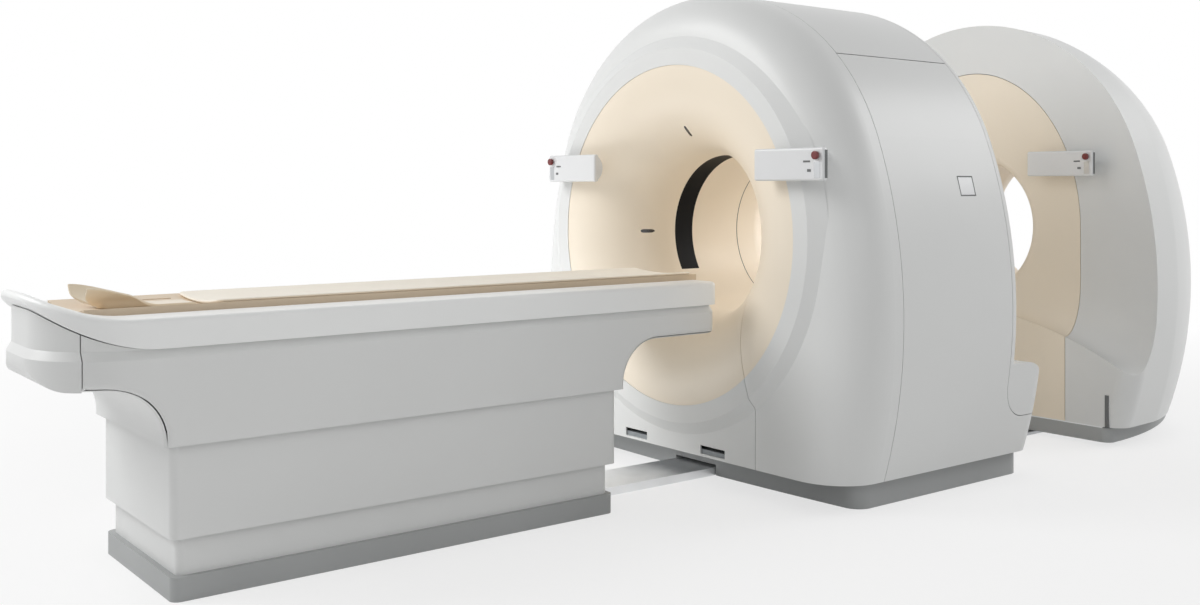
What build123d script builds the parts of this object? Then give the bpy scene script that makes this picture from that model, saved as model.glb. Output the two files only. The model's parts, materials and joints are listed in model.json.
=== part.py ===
from build123d import *

import math
import os

# PET-CT scanner: CT gantry, PET gantry on floor rails, and patient couch.
# Millimetres. +Z is up, +Y runs along the bore from the couch to the rear, +X is to the right
# seen from the couch. The origin is on the floor, straight below the CT isocentre.

# Shared by all pieces
OVERRUN = 60.0  # how far a cutting tool passes beyond the piece that it cuts
SEAM = 3.0  # open joint between neighbouring covers
SEAT_GAP = 0.3  # room left where round faces meet
RUN_GAP = 0.5  # room left between pieces that move past each other
SKIN = 8.0  # wall of the moulded gantry covers

# Bore, common to both gantries
ISO_Z = 1045.0  # height of the bore axis
BORE_R = 350.0
LINER_WALL = 8.0

# Arch outline of the gantries: one top arc and two side arcs, tangent where they meet
ARCH_BLEND_ANGLE = 20.0  # degrees above level where the top arc passes into the side arcs
ARCH_TOP_DRAW_IN = 67.0  # the top arc's radius is this much less than the half width
CT_HALF_WIDTH = 1047.0
CT_TOP_R = CT_HALF_WIDTH - ARCH_TOP_DRAW_IN
CT_TOP_Z = 2095.0
PET_HALF_WIDTH = 1047.0
PET_TOP_R = PET_HALF_WIDTH - ARCH_TOP_DRAW_IN
PET_TOP_Z = 2125.0

# CT gantry, lengths along the bore counted from the scan plane
CT_FRONT_REACH = 402.0  # to the flat ring round the funnel
CT_RING_STEP = 27.0  # the ring stands this far ahead of the front face
CT_RING_R = 810.0
CT_RING_SLOPE = 49.0  # width of the slope from the ring down to the front face
CT_FRONT_COVER_DEPTH = 250.0  # front face to the seam with the side panels
CT_FRONT_ROUND = 200.0
CT_REAR_REACH = 650.0
CT_REAR_COVER_DEPTH = 65.0
CT_REAR_ROUND = 55.0
CT_FOOT_REACH = 870.0
CT_FOOT_TOP_Z = 510.0
CT_FOOT_ROUND = 160.0
CT_FOOT_CORNER = 90.0
CT_COVER_BOTTOM_Z = 110.0
CT_TOP_SEAM_Z = 1790.0
CT_SIDE_FOOT_Z = 275.0  # the side panel's upper edge along the foot
CT_SIDE_SWEEP_R = 150.0
CT_SIDE_FOOT_MARGIN = 10.0  # the side panel stops this far ahead of the foot's rear face

# Front funnel, its lower sector and the X-ray window
FUNNEL_MOUTH_R = 735.0
FUNNEL_SET_BACK = 3.0  # the funnel's rim lies this far behind the ring
FUNNEL_FLANGE_WIDTH = 30.0
FUNNEL_FLANGE_WALL = 6.0
WINDOW_WIDTH = 110.0
WINDOW_WALL = 4.0
WINDOW_DIP_ANGLE = 31.0  # the window ends this far below the bore's sides, in degrees
LOWER_PANEL_HALF_WIDTH = 505.0
LOWER_PANEL_KNEE_Z = 360.0  # the panel's seams lean inwards above this height
LOWER_PANEL_TOP_HALF_WIDTH = 345.0
LOWER_PANEL_TOP_Z = 860.0

# Slots low in the front cover
SLOT_OFFSET = 250.0
SLOT_WIDTH = 150.0
SLOT_HEIGHT = 36.0
SLOT_RISE = 11.0  # slot above the cover's lower edge

# Laser windows in the funnel
LASER_TOP_RISE = 452.0  # upper window above the bore axis
LASER_SIDE_OFFSET = 385.0
LASER_LENGTH = 44.0
LASER_SIDE_LENGTH = 30.0
LASER_WIDTH = 16.0

# Rear funnel and liner of the CT bore
LINER_REACH = 350.0
REAR_THROAT_REACH = 465.0
REAR_MOUTH_R = 560.0

# CT base and plinth
CT_BASE_HALF_WIDTH = 840.0
CT_BASE_FRONT = 180.0  # from the scan plane towards the couch
CT_BASE_REAR = 840.0
CT_BASE_TOP_Z = 140.0
CT_TONGUE_HALF_WIDTH = 640.0
CT_TONGUE_BOTTOM_Z = 114.0
CT_PLINTH_HALF_WIDTH = 900.0
CT_PLINTH_FRONT = 242.0
CT_PLINTH_BOW = 32.0  # the plinth's front bows out by this much in its middle
CT_PLINTH_REAR = 862.0
CT_PLINTH_HEIGHT = 98.0
CT_PLINTH_CORNER = 70.0

# Inside the CT gantry
BULKHEAD_FRONT = 200.0
BULKHEAD_WALL = 60.0
BEARING_OUTER_R = 470.0
BEARING_RACE_R = 430.0
BEARING_RACE_MARGIN = 5.0
ROTOR_SLEEVE_R = 372.0
ROTOR_SLEEVE_WALL = 28.0
ROTOR_DISC_FRONT = 120.0
ROTOR_DISC_WALL = 30.0
ROTOR_R = 880.0
ROTOR_RIM_WALL = 30.0
ROTOR_RIM_DEPTH = 60.0
ROTOR_SLEEVE_REAR = 330.0
MOTOR_R = 640.0
MOTOR_WALL = 60.0
MOTOR_DEPTH = 35.0
MAGNET_WALL = 28.0
MAGNET_DEPTH = 38.0
MAGNET_AIR_GAP = 2.0
SLIP_RING_FRONT = 275.0
SLIP_RING_WIDTH = 50.0
SLIP_RING_WALL = 25.0
TUBE_ORBIT_R = 690.0
TUBE_R = 118.0
TUBE_LENGTH = 290.0
TUBE_END_ROUND = 24.0
COLLIMATOR_HALF_WIDTH = 95.0
COLLIMATOR_HEIGHT = 130.0
COLLIMATOR_FRONT = 62.0
COLLIMATOR_SLIT_WIDTH = 40.0
DETECTOR_IN_R = 560.0
DETECTOR_OUT_R = 650.0
DETECTOR_HALF_ANGLE = 28.0
DETECTOR_FRONT = 90.0
GENERATOR_INNER_X = 530.0
GENERATOR_WIDTH = 230.0
GENERATOR_HEIGHT = 330.0
GENERATOR_DEPTH = 260.0
GENERATOR_ROUND = 20.0

# Control panels of both gantries
PANEL_WIDTH = 361.0
PANEL_HEIGHT = 125.0
PANEL_DEPTH = 26.0
PANEL_ROUND = 9.0
PANEL_HOUSING_WIDTH = 270.0
PANEL_HOUSING_DEPTH = 50.0  # from the plate's face to the housing's back
PANEL_HOUSING_MARGIN = 4.0
PANEL_FOOT_WIDTH = 66.0
PANEL_FOOT_HEIGHT = 84.0
CT_PANEL_EDGE_INSET = 453.0  # from the gantry's widest point to the panel's inner end
CT_PANEL_INNER_X = CT_HALF_WIDTH - CT_PANEL_EDGE_INSET
CT_PANEL_MID_Z = 1338.0
CT_PANEL_STAND_OFF = 73.0  # the panel's face stands this far ahead of the ring
CT_PANEL_FOOT_INSET = 95.0  # from the panel's outer end to its foot
CT_LEFT_PANEL_SHIFT = 164.0  # the left panel sits this much nearer to the bore than the right one
CT_LEFT_PANEL_INNER_X = CT_PANEL_INNER_X - CT_LEFT_PANEL_SHIFT
CT_LEFT_PANEL_FOOT_INSET = 4.0
PET_PANEL_EDGE_INSET = 649.0
PET_PANEL_INNER_X = PET_HALF_WIDTH - PET_PANEL_EDGE_INSET
PET_PANEL_MID_Z = 1368.0
PET_PANEL_STAND_OFF = 92.0
PET_PANEL_FOOT_INSET = 75.0

# Stop buttons
BUTTON_R = 16.0
BUTTON_HEAD = 11.0
BUTTON_ROUND = 4.0
BUTTON_TRAVEL = 5.0
BUTTON_LIFT = 7.0  # gap under the head at rest
BUTTON_STEM_R = 8.0
BUTTON_STEM_DEPTH = 12.0
BUTTON_EDGE = 30.0  # button's centre from the panel's outer and upper edges

# Flush latches on the CT side panels
LATCH_FRONT = 315.0
LATCH_LENGTH = 92.0
LATCH_BOTTOM_Z = 1220.0
LATCH_HEIGHT = 72.0

# PET gantry, lengths along the bore counted from the CT scan plane
PET_FOOT_REACH = 1635.0
PET_FOOT_DEPTH = 140.0  # foot face to the upright wall
PET_REAR_REACH = 2650.0
PET_PLAN_R = 1300.0  # the sides and top draw in along this arc towards the rear
PET_FRONT_ROUND = 190.0
PET_FOOT_ROUND = 90.0
PET_REAR_ROUND = 40.0
PET_COVER_BOTTOM_Z = 95.0
PET_SEAM_REACH = 2400.0
PET_FOOT_EDGE_Z = 620.0  # the foot's upper edge on the centre line
PET_FOOT_EDGE_R = 1920.0
PET_SWEEP_HEIGHT = 250.0
PET_SWEEP_HALF_ANGLE = 50.0
PET_STATION_STEP = 175.0  # spacing of the sections that shape the rear
PET_CREAM_HALF_WIDTH = 640.0
PET_CREAM_RISE = 815.0  # height of the cream arch above the bore axis

# PET bore and inside
PET_LIP_R = 395.0
PET_LIP_DEPTH = 60.0
PET_TUBE_WALL = 7.0
PET_REAR_THROAT = 2450.0
PET_REAR_MOUTH_R = 480.0
PET_BULKHEAD_FRONT = 2040.0
PET_BULKHEAD_WALL = 25.0
PET_BULKHEAD_R = 760.0
PET_BULKHEAD_FOOT_HALF_WIDTH = 560.0
PET_RING_LENGTH = 270.0
PET_RING_IN_R = 450.0
PET_RING_OUT_R = 620.0
PET_RING_SIDE_COUNT = 28

# PET base, plinth and running gear
PET_PLINTH_HALF_WIDTH = 869.0
PET_PLINTH_FRONT = 1646.0
PET_PLINTH_REAR = 2620.0
PET_PLINTH_PLAN_R = 2200.0
PET_PLINTH_WALL = 40.0
PET_PLINTH_TOP_Z = 88.0
PET_PLINTH_CORNER = 45.0
PET_FLOOR_GAP = 18.0
PET_BASE_TOP_Z = 140.0
PET_BASE_HALF_WIDTH = 835.0
PET_BASE_SHOULDER = 1800.0
PET_BASE_REAR_HALF_WIDTH = 560.0
PET_BUMPER_WIDTH = 18.0
PET_BUMPER_TOP_Z = 250.0
PET_BUMPER_PROUD = 5.0
PET_BUMPER_X = 864.0
RAIL_OFFSET = 430.0
RAIL_WIDTH = 70.0
RAIL_HEIGHT = 14.0
RAIL_END = 2790.0
WHEEL_R = 30.0
WHEEL_WIDTH = 40.0
AXLE_R = 12.0
AXLE_BLOCK_OFFSET = 350.0
AXLE_BLOCK_SIZE = 44.0
FRONT_AXLE_REACH = 1800.0
REAR_AXLE_REACH = 2480.0

# Couch, lengths along the bore counted from the scan plane towards the foot end
COUCH_PLINTH_HALF_WIDTH = 335.0
COUCH_PLINTH_HEAD = 970.0
FOOT_ARM_REACH = 2915.0
FOOT_ARM_OVERHANG = 250.0  # beyond the plinth
COUCH_PLINTH_FOOT = FOOT_ARM_REACH - FOOT_ARM_OVERHANG
COUCH_PLINTH_HEIGHT = 74.0
COUCH_PLINTH_CORNER = 30.0
LOWER_HALF_WIDTH = 315.0
LOWER_HEAD = 985.0
LOWER_FOOT_INSET = 20.0  # from the plinth's foot end
LOWER_FOOT = COUCH_PLINTH_FOOT - LOWER_FOOT_INSET
LOWER_TOP_Z = 245.0
COVER_WALL = 5.0
COVER_CORNER = 26.0
COVER_STEP = 25.0  # each cover stands this far outside the one below
MIDDLE_BOTTOM_Z = 190.0
MIDDLE_TOP_Z = 510.0
UPPER_WALL = 6.0
UPPER_BOTTOM_Z = 476.0
UPPER_TOP_Z = 772.0
SHOULDER_DROP = 27.0
SHOULDER_INSET = 15.0
ARM_BOTTOM_Z = 655.0
HEAD_ARM_REACH = 470.0
ARM_SWEEP_R = 165.0
UPPER_EDGE_ROUND = 26.0
RIM_HALF_WIDTH = 380.0
RIM_HEAD = 455.0
RIM_OVERHANG = 130.0
RIM_FOOT = FOOT_ARM_REACH + RIM_OVERHANG
RIM_TOP_Z = 866.0
RIM_FOOT_CORNER = 300.0
RIM_HEAD_CORNER = 46.0
RIM_EDGE_ROUND = 16.0
RIM_BOW_LENGTH = 342.0  # over this length the rim sweeps up to the foot end
RIM_BOW_START = RIM_FOOT - RIM_BOW_LENGTH
RIM_BOW_R = 480.0
RIM_TOP_BOW_LENGTH = 265.0
RIM_TOP_BOW_START = RIM_FOOT - RIM_TOP_BOW_LENGTH
RIM_TOP_BOW_R = 460.0
TROUGH_HALF_WIDTH = 236.0
TROUGH_FLOOR_Z = 806.0
TROUGH_END_WALL = 152.0
TROUGH_FOOT = RIM_FOOT - TROUGH_END_WALL
END_CAP_ROUND = 80.0
TOP_FRAME_BOTTOM_Z = 700.0
TOP_PLATE_Z = 757.0  # underside of the plate that lies on the lift columns
TOP_FRAME_MARGIN = 15.0  # between the frame's deep middle and the middle cover's walls
TOP_FRAME_WALL = 140.0
FRAME_TONGUE_HALF_WIDTH = 200.0
NOSE_HALF_WIDTH = 180.0
NOSE_LENGTH = 27.0
NOSE_HEIGHT = 28.0
NOSE_BEVEL = 12.0

# Couch lift columns
COLUMN_HEAD_INSET = 385.0  # from the lower cover's head end to the first column's middle
COLUMN_FOOT_INSET = 375.0
COLUMN_OUTER_SIZE = 220.0
COLUMN_WALL = 10.0
COLUMN_OUTER_TOP_Z = 404.0
COLUMN_MIDDLE_BOTTOM_Z = 175.0
COLUMN_MIDDLE_TOP_Z = 505.0
COLUMN_INNER_BOTTOM_Z = 415.0
COLUMN_YOKE_Z = 345.0  # yoke from the middle stage out to the middle cover
COLUMN_YOKE_WALL = 12.0
COLUMN_YOKE_WIDTH = 60.0
COLUMN_SLOT_BOTTOM_Z = 250.0  # slots in the outer stage that let the yoke pass

# Pallet, pad and head holder
PALLET_HALF_WIDTH = 205.0
PALLET_FOOT_GAP = 8.0
PALLET_FOOT = TROUGH_FOOT - PALLET_FOOT_GAP
PALLET_HEAD = 425.0
PALLET_EDGE_Z = 886.0
PALLET_DISH = 18.0
PALLET_SIDE_BOTTOM_Z = 862.0
PALLET_BOTTOM_Z = 845.0
PALLET_FLAT_HALF_WIDTH = 150.0
RUNNER_OFFSET = 150.0
RUNNER_WIDTH = 40.0
PALLET_RAIL_WIDTH = 30.0
PALLET_RAIL_HEIGHT = 22.0
PALLET_RAIL_INSET = 25.0
PALLET_RAIL_FOOT = PALLET_FOOT - PALLET_RAIL_INSET
PALLET_SLIT_OFFSET = 138.0
PALLET_SLIT_WIDTH = 14.0
PALLET_SLIT_DEPTH = 16.0
PALLET_SLIT_INSET = 145.0
PALLET_SLIT_LENGTH = 230.0
PALLET_SLIT_FOOT = PALLET_FOOT - PALLET_SLIT_INSET
PALLET_SLIT_HEAD = PALLET_SLIT_FOOT - PALLET_SLIT_LENGTH
PAD_HALF_WIDTH = 190.0
PAD_WALL = 14.0
PAD_FOOT_INSET = 415.0
PAD_FOOT = PALLET_FOOT - PAD_FOOT_INSET
PAD_HEAD_MARGIN = 6.0
HOLDER_R = 118.0
HOLDER_WALL = 8.0
HOLDER_HALF_ANGLE = 62.0
HOLDER_INSET = 35.0
HOLDER_FOOT = PALLET_FOOT - HOLDER_INSET
HOLDER_LENGTH = 240.0
HOLDER_SCALLOP_R = 70.0
HOLDER_BASE_HALF_WIDTH = 62.0
HOLDER_BASE_RISE = 14.0
HOLDER_FOOT_RISE = 96.0  # top of its walls above the pallet's floor, at the foot end
HOLDER_HEAD_RISE = 34.0
HOLDER_TONGUE_LENGTH = 115.0
HOLDER_TONGUE_WALL = 8.0

# Floor link plate between couch and gantry
LINK_HALF_WIDTH = 124.0
LINK_TOP_Z = 34.0
LINK_END = 160.0
LINK_SLOT_GAP = 6.0
LINK_SLOT_TOP_Z = 46.0

# Places that follow from the sizes above
CT_RING_Y = -CT_FRONT_REACH
CT_FACE_Y = CT_RING_Y + CT_RING_STEP
CT_SEAM_Y = CT_FACE_Y + CT_FRONT_COVER_DEPTH
CT_WALL_Y = CT_REAR_REACH
CT_PANEL_REAR_Y = CT_WALL_Y - CT_REAR_COVER_DEPTH
WINDOW_HALF = WINDOW_WIDTH / 2
PET_WALL_Y = PET_FOOT_REACH + PET_FOOT_DEPTH
MIDDLE_HALF_WIDTH = LOWER_HALF_WIDTH + COVER_STEP
UPPER_HALF_WIDTH = MIDDLE_HALF_WIDTH + COVER_STEP
RIM_BOTTOM_Z = UPPER_TOP_Z + SEAM

CT_ARCH = (CT_TOP_R, CT_TOP_Z, CT_HALF_WIDTH)
PET_ARCH = (PET_TOP_R, PET_TOP_Z, PET_HALF_WIDTH)


# Planes and simple bodies

def at_y(y, z=0.0):
    """Upright plane across the bore at y, its own axes along X and Z."""
    return Plane(origin=(0, y, z), x_dir=(1, 0, 0), z_dir=(0, -1, 0))


def at_x(x):
    """Upright plane along the bore at x, its own axes along Y and Z."""
    return Plane(origin=(x, 0, 0), x_dir=(0, 1, 0), z_dir=(1, 0, 0))


def prism_y(face, low, high, z=0.0):
    return extrude(at_y(low, z) * face, amount=high - low, dir=(0, 1, 0))


def prism_x(face, low, high):
    return extrude(at_x(low) * face, amount=high - low, dir=(1, 0, 0))


def prism_z(face, low, high):
    return extrude(Pos(0, 0, low) * face, amount=high - low)


def block(x_span, y_span, z_span):
    """Box between the two ends of each span."""
    spans = (x_span, y_span, z_span)
    size = [max(span) - min(span) for span in spans]
    middle = [(span[0] + span[1]) / 2 for span in spans]
    return Pos(*middle) * Box(*size)


def ring_y(inner_r, outer_r, low, high):
    """Ring round the bore axis."""
    return prism_y(Circle(outer_r) - Circle(inner_r), low, high, ISO_Z)


def disc_y(radius, low, high):
    return prism_y(Circle(radius), low, high, ISO_Z)


def turned(profile):
    """Turn a profile, drawn with its radius along X, round the bore axis."""
    return revolve(Pos(0, 0, ISO_Z) * profile, Axis((0, 0, ISO_Z), (0, 1, 0)))


def mirrored(shape):
    return mirror(shape, about=Plane.YZ)


def round_front(body, radius, floor_z):
    """Round the front outline of an arch body, but not its lower edge."""
    edges = body.faces().sort_by(Axis.Y)[0].edges()
    return fillet([edge for edge in edges if edge.center().Z > floor_z + SEAM], radius)


def round_rear(body, radius, floor_z):
    edges = body.faces().sort_by(Axis.Y)[-1].edges()
    return fillet([edge for edge in edges if edge.center().Z > floor_z + SEAM], radius)


# Gantry outline

def arch_face(arch, inset, bottom_z):
    """Closed arch, drawn in by inset, standing on bottom_z."""
    top_r, top_z, half_width = arch
    angle = math.radians(ARCH_BLEND_ANGLE)
    centre_z = top_z - top_r
    side_r = (half_width - top_r * math.cos(angle)) / (1 - math.cos(angle))
    side_x = (top_r - side_r) * math.cos(angle)
    side_z = centre_z + (top_r - side_r) * math.sin(angle)
    low_angle = math.asin((bottom_z - side_z) / (side_r - inset))

    def on_side(at):
        reach = side_r - inset
        return side_x + reach * math.cos(at), side_z + reach * math.sin(at)

    foot = on_side(low_angle)
    belly = on_side((low_angle + angle) / 2)
    shoulder = on_side(angle)
    crown = (0, top_z - inset)
    edges = [
        Line((-foot[0], foot[1]), foot),
        ThreePointArc(foot, belly, shoulder),
        ThreePointArc(shoulder, crown, (-shoulder[0], shoulder[1])),
        ThreePointArc((-shoulder[0], shoulder[1]), (-belly[0], belly[1]), (-foot[0], foot[1])),
    ]
    return make_face(edges)


def flare(mouth_r, mouth_y, throat_r, throat_y, wall):
    """Trumpet-shaped shell: a quarter ellipse from the mouth's rim to the throat."""
    reach_r = mouth_r - throat_r
    reach_y = abs(mouth_y - throat_y)
    way = 1 if mouth_y > throat_y else -1
    start = 90 if way > 0 else 180
    centre = (mouth_r, throat_y)
    edges = [
        EllipticalCenterArc(centre, reach_r, reach_y, start, arc_size=90),
        EllipticalCenterArc(centre, reach_r - wall, reach_y - wall, start, arc_size=90),
        Line((mouth_r, mouth_y), (mouth_r, mouth_y - way * wall)),
        Line((throat_r, throat_y), (throat_r + wall, throat_y)),
    ]
    return turned(make_face(edges))


# CT covers

def ct_front_body(inset):
    """Solid of the front cover, drawn in by inset: rounded arch with the raised ring."""
    spare = OVERRUN if inset else 0
    bottom_z = CT_COVER_BOTTOM_Z - spare
    face_y = CT_FACE_Y + inset
    ring_y_low = CT_RING_Y + inset
    seam_y = CT_SEAM_Y + spare
    body = prism_y(arch_face(CT_ARCH, inset, bottom_z), face_y, seam_y)
    body = round_front(body, CT_FRONT_ROUND - inset, bottom_z)
    ring = Polygon(
        (0, ring_y_low),
        (CT_RING_R, ring_y_low),
        (CT_RING_R + CT_RING_SLOPE * 3 / 2, face_y + CT_RING_STEP / 2),
        (0, face_y + CT_RING_STEP / 2),
        align=None,
    )
    return body + turned(ring)


def lower_panel_prism(shrink):
    """Tool for the lower front panel: upright seams that lean in towards the bore."""
    low_z = CT_COVER_BOTTOM_Z - OVERRUN
    half = LOWER_PANEL_HALF_WIDTH - shrink
    top_half = LOWER_PANEL_TOP_HALF_WIDTH - shrink
    face = Polygon(
        (-half, low_z),
        (half, low_z),
        (half, LOWER_PANEL_KNEE_Z),
        (top_half, LOWER_PANEL_TOP_Z),
        (-top_half, LOWER_PANEL_TOP_Z),
        (-half, LOWER_PANEL_KNEE_Z),
        align=None,
    )
    return prism_y(face, CT_RING_Y - OVERRUN, -WINDOW_HALF + OVERRUN)


def ct_front_covers():
    shell = ct_front_body(0) - ct_front_body(SKIN)
    shell -= disc_y(FUNNEL_MOUTH_R + SEAT_GAP, CT_RING_Y - OVERRUN, CT_SEAM_Y + OVERRUN)
    cover = shell - lower_panel_prism(0)
    panel = shell & lower_panel_prism(SEAM)
    slot_bottom_z = CT_COVER_BOTTOM_Z + SLOT_RISE
    for side in (1, -1):
        middle = side * SLOT_OFFSET
        panel -= block(
            (middle - SLOT_WIDTH / 2, middle + SLOT_WIDTH / 2),
            (CT_FACE_Y - OVERRUN, CT_FACE_Y + OVERRUN),
            (slot_bottom_z, slot_bottom_z + SLOT_HEIGHT),
        )
    return cover, panel


def laser_prism(grow):
    """Tools for the laser windows: one above the bore, one on each side of it."""
    low = CT_RING_Y - OVERRUN
    high = -WINDOW_HALF
    width = LASER_WIDTH + 2 * grow
    upright = SlotOverall(LASER_LENGTH + 2 * grow, width, rotation=90)
    level = SlotOverall(LASER_SIDE_LENGTH + 2 * grow, width)
    tools = prism_y(Pos(0, LASER_TOP_RISE) * upright, low, high, ISO_Z)
    for side in (1, -1):
        tools += prism_y(Pos(side * LASER_SIDE_OFFSET, 0) * level, low, high, ISO_Z)
    return tools


def ct_front_funnel():
    mouth_y = CT_RING_Y + FUNNEL_SET_BACK
    flange_y = CT_RING_Y + SKIN
    shell = flare(FUNNEL_MOUTH_R, mouth_y, BORE_R, -WINDOW_HALF, LINER_WALL)
    flange = ring_y(
        FUNNEL_MOUTH_R - FUNNEL_FLANGE_WALL,
        FUNNEL_MOUTH_R + FUNNEL_FLANGE_WIDTH,
        flange_y,
        flange_y + FUNNEL_FLANGE_WALL,
    )
    shell += flange
    windows = shell & laser_prism(0)
    shell -= laser_prism(SEAT_GAP)
    upper = shell - lower_panel_prism(0)
    lower = shell & lower_panel_prism(SEAM)
    return upper, lower, windows


def ct_outer_body(inset):
    """Solid of the side, top and rear covers, drawn in by inset."""
    spare = OVERRUN if inset else 0
    bottom_z = CT_COVER_BOTTOM_Z - spare
    front_y = CT_SEAM_Y + SEAM - spare
    wall_y = CT_WALL_Y - inset
    foot_y = CT_FOOT_REACH - inset
    outline = arch_face(CT_ARCH, inset, bottom_z)
    upper = round_rear(prism_y(outline, front_y, wall_y), CT_REAR_ROUND - inset, bottom_z)
    foot = round_rear(prism_y(outline, front_y, foot_y), CT_FOOT_CORNER - inset, bottom_z)
    top_z = CT_FOOT_TOP_Z - inset
    radius = CT_FOOT_ROUND - inset
    profile = make_face([
        Line((front_y, bottom_z), (foot_y, bottom_z)),
        Line((foot_y, bottom_z), (foot_y, top_z - radius)),
        CenterArc((foot_y - radius, top_z - radius), radius, 0, 90),
        Line((foot_y - radius, top_z), (front_y, top_z)),
        Line((front_y, top_z), (front_y, bottom_z)),
    ])
    return upper + (foot & prism_x(profile, -CT_HALF_WIDTH, CT_HALF_WIDTH))


def side_region():
    """Outline of a side panel seen from the side, with its swept edge above the foot."""
    low_z = CT_COVER_BOTTOM_Z - OVERRUN
    front_y = CT_SEAM_Y
    end_y = CT_FOOT_REACH - CT_SIDE_FOOT_MARGIN
    sweep_y = CT_PANEL_REAR_Y + CT_SIDE_SWEEP_R
    sweep_z = CT_SIDE_FOOT_Z + CT_SIDE_SWEEP_R
    return make_face([
        Line((front_y, low_z), (end_y, low_z)),
        Line((end_y, low_z), (end_y, CT_SIDE_FOOT_Z)),
        Line((end_y, CT_SIDE_FOOT_Z), (sweep_y, CT_SIDE_FOOT_Z)),
        CenterArc((sweep_y, sweep_z), CT_SIDE_SWEEP_R, 180, 90),
        Line((CT_PANEL_REAR_Y, sweep_z), (CT_PANEL_REAR_Y, CT_TOP_SEAM_Z)),
        Line((CT_PANEL_REAR_Y, CT_TOP_SEAM_Z), (front_y, CT_TOP_SEAM_Z)),
        Line((front_y, CT_TOP_SEAM_Z), (front_y, low_z)),
    ])


def rear_region():
    """Outline of the rear cover seen from the side, one seam behind the side panels."""
    low_z = CT_COVER_BOTTOM_Z - OVERRUN
    high_z = CT_TOP_Z + OVERRUN
    far_y = CT_FOOT_REACH + OVERRUN
    end_y = CT_FOOT_REACH - CT_SIDE_FOOT_MARGIN + SEAM
    edge_y = CT_PANEL_REAR_Y + SEAM
    edge_z = CT_SIDE_FOOT_Z + SEAM
    sweep_y = CT_PANEL_REAR_Y + CT_SIDE_SWEEP_R
    sweep_z = CT_SIDE_FOOT_Z + CT_SIDE_SWEEP_R
    return make_face([
        Line((end_y, low_z), (far_y, low_z)),
        Line((far_y, low_z), (far_y, high_z)),
        Line((far_y, high_z), (edge_y, high_z)),
        Line((edge_y, high_z), (edge_y, sweep_z)),
        CenterArc((sweep_y, sweep_z), CT_SIDE_SWEEP_R - SEAM, 180, 90),
        Line((sweep_y, edge_z), (end_y, edge_z)),
        Line((end_y, edge_z), (end_y, low_z)),
    ])


def latch_block(grow):
    """Tool for a latch: the plate by itself, or grown into the hole that holds it."""
    return block(
        (CT_HALF_WIDTH / 2, CT_HALF_WIDTH + OVERRUN),
        (LATCH_FRONT - grow, LATCH_FRONT + LATCH_LENGTH + grow),
        (LATCH_BOTTOM_Z - grow, LATCH_BOTTOM_Z + LATCH_HEIGHT + grow),
    )


def ct_outer_covers():
    shell = ct_outer_body(0) - ct_outer_body(SKIN)
    right = shell & prism_x(side_region(), 0, CT_HALF_WIDTH + OVERRUN)
    latch = right & latch_block(0)
    right -= latch_block(RUN_GAP)
    top = shell & block(
        (-CT_HALF_WIDTH, CT_HALF_WIDTH),
        (CT_SEAM_Y, CT_PANEL_REAR_Y),
        (CT_TOP_SEAM_Z + SEAM, CT_TOP_Z + OVERRUN),
    )
    rear = shell & prism_x(rear_region(), -CT_HALF_WIDTH, CT_HALF_WIDTH)
    rear -= disc_y(REAR_MOUTH_R + SEAT_GAP, CT_PANEL_REAR_Y, CT_FOOT_REACH + OVERRUN)
    return right, latch, top, rear


def ct_rear_funnel():
    mouth_y = CT_WALL_Y - FUNNEL_SET_BACK
    flange_y = CT_WALL_Y - SKIN
    shell = flare(REAR_MOUTH_R, mouth_y, BORE_R, REAR_THROAT_REACH, LINER_WALL)
    shell += ring_y(BORE_R, BORE_R + LINER_WALL, LINER_REACH, REAR_THROAT_REACH)
    shell += ring_y(
        REAR_MOUTH_R - FUNNEL_FLANGE_WALL,
        REAR_MOUTH_R + FUNNEL_FLANGE_WIDTH,
        flange_y - FUNNEL_FLANGE_WALL,
        flange_y,
    )
    return shell


# CT base and plinth

def link_slot():
    half = LINK_HALF_WIDTH + LINK_SLOT_GAP
    return block((-half, half), (-CT_PLINTH_FRONT - OVERRUN, -LINK_END), (-OVERRUN, LINK_SLOT_TOP_Z))


def ct_base_main():
    half = CT_BASE_HALF_WIDTH
    return block((-half, half), (-CT_BASE_FRONT, CT_BASE_REAR), (0, CT_BASE_TOP_Z))


def ct_base_frame():
    half = CT_TONGUE_HALF_WIDTH
    tongue_z = (CT_TONGUE_BOTTOM_Z, CT_BASE_TOP_Z)
    frame = ct_base_main()
    frame += block((-half, half), (CT_FACE_Y + SKIN, -CT_BASE_FRONT), tongue_z)
    frame += block((-half, half), (CT_BASE_REAR, CT_FOOT_REACH - SKIN), tongue_z)
    return frame - link_slot()


def ct_plinth():
    half = CT_PLINTH_HALF_WIDTH
    corner_y = -CT_PLINTH_FRONT + CT_PLINTH_BOW
    plan = make_face([
        ThreePointArc((-half, corner_y), (0, -CT_PLINTH_FRONT), (half, corner_y)),
        Line((half, corner_y), (half, CT_PLINTH_REAR)),
        Line((half, CT_PLINTH_REAR), (-half, CT_PLINTH_REAR)),
        Line((-half, CT_PLINTH_REAR), (-half, corner_y)),
    ])
    body = prism_z(plan, 0, CT_PLINTH_HEIGHT)
    body = fillet(body.edges().filter_by(Axis.Z), CT_PLINTH_CORNER)
    return body - ct_base_main() - link_slot()


# Inside the CT gantry

def ct_stator_bulkhead():
    outline = arch_face(CT_ARCH, SKIN + SEAT_GAP, CT_BASE_TOP_Z)
    rear = BULKHEAD_FRONT + BULKHEAD_WALL
    return prism_y(outline, BULKHEAD_FRONT, rear) - disc_y(BEARING_OUTER_R, BULKHEAD_FRONT, rear)


def ct_bearing_outer():
    rear = BULKHEAD_FRONT + BULKHEAD_WALL
    return ring_y(BEARING_RACE_R, BEARING_OUTER_R - SEAT_GAP, BULKHEAD_FRONT, rear)


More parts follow.
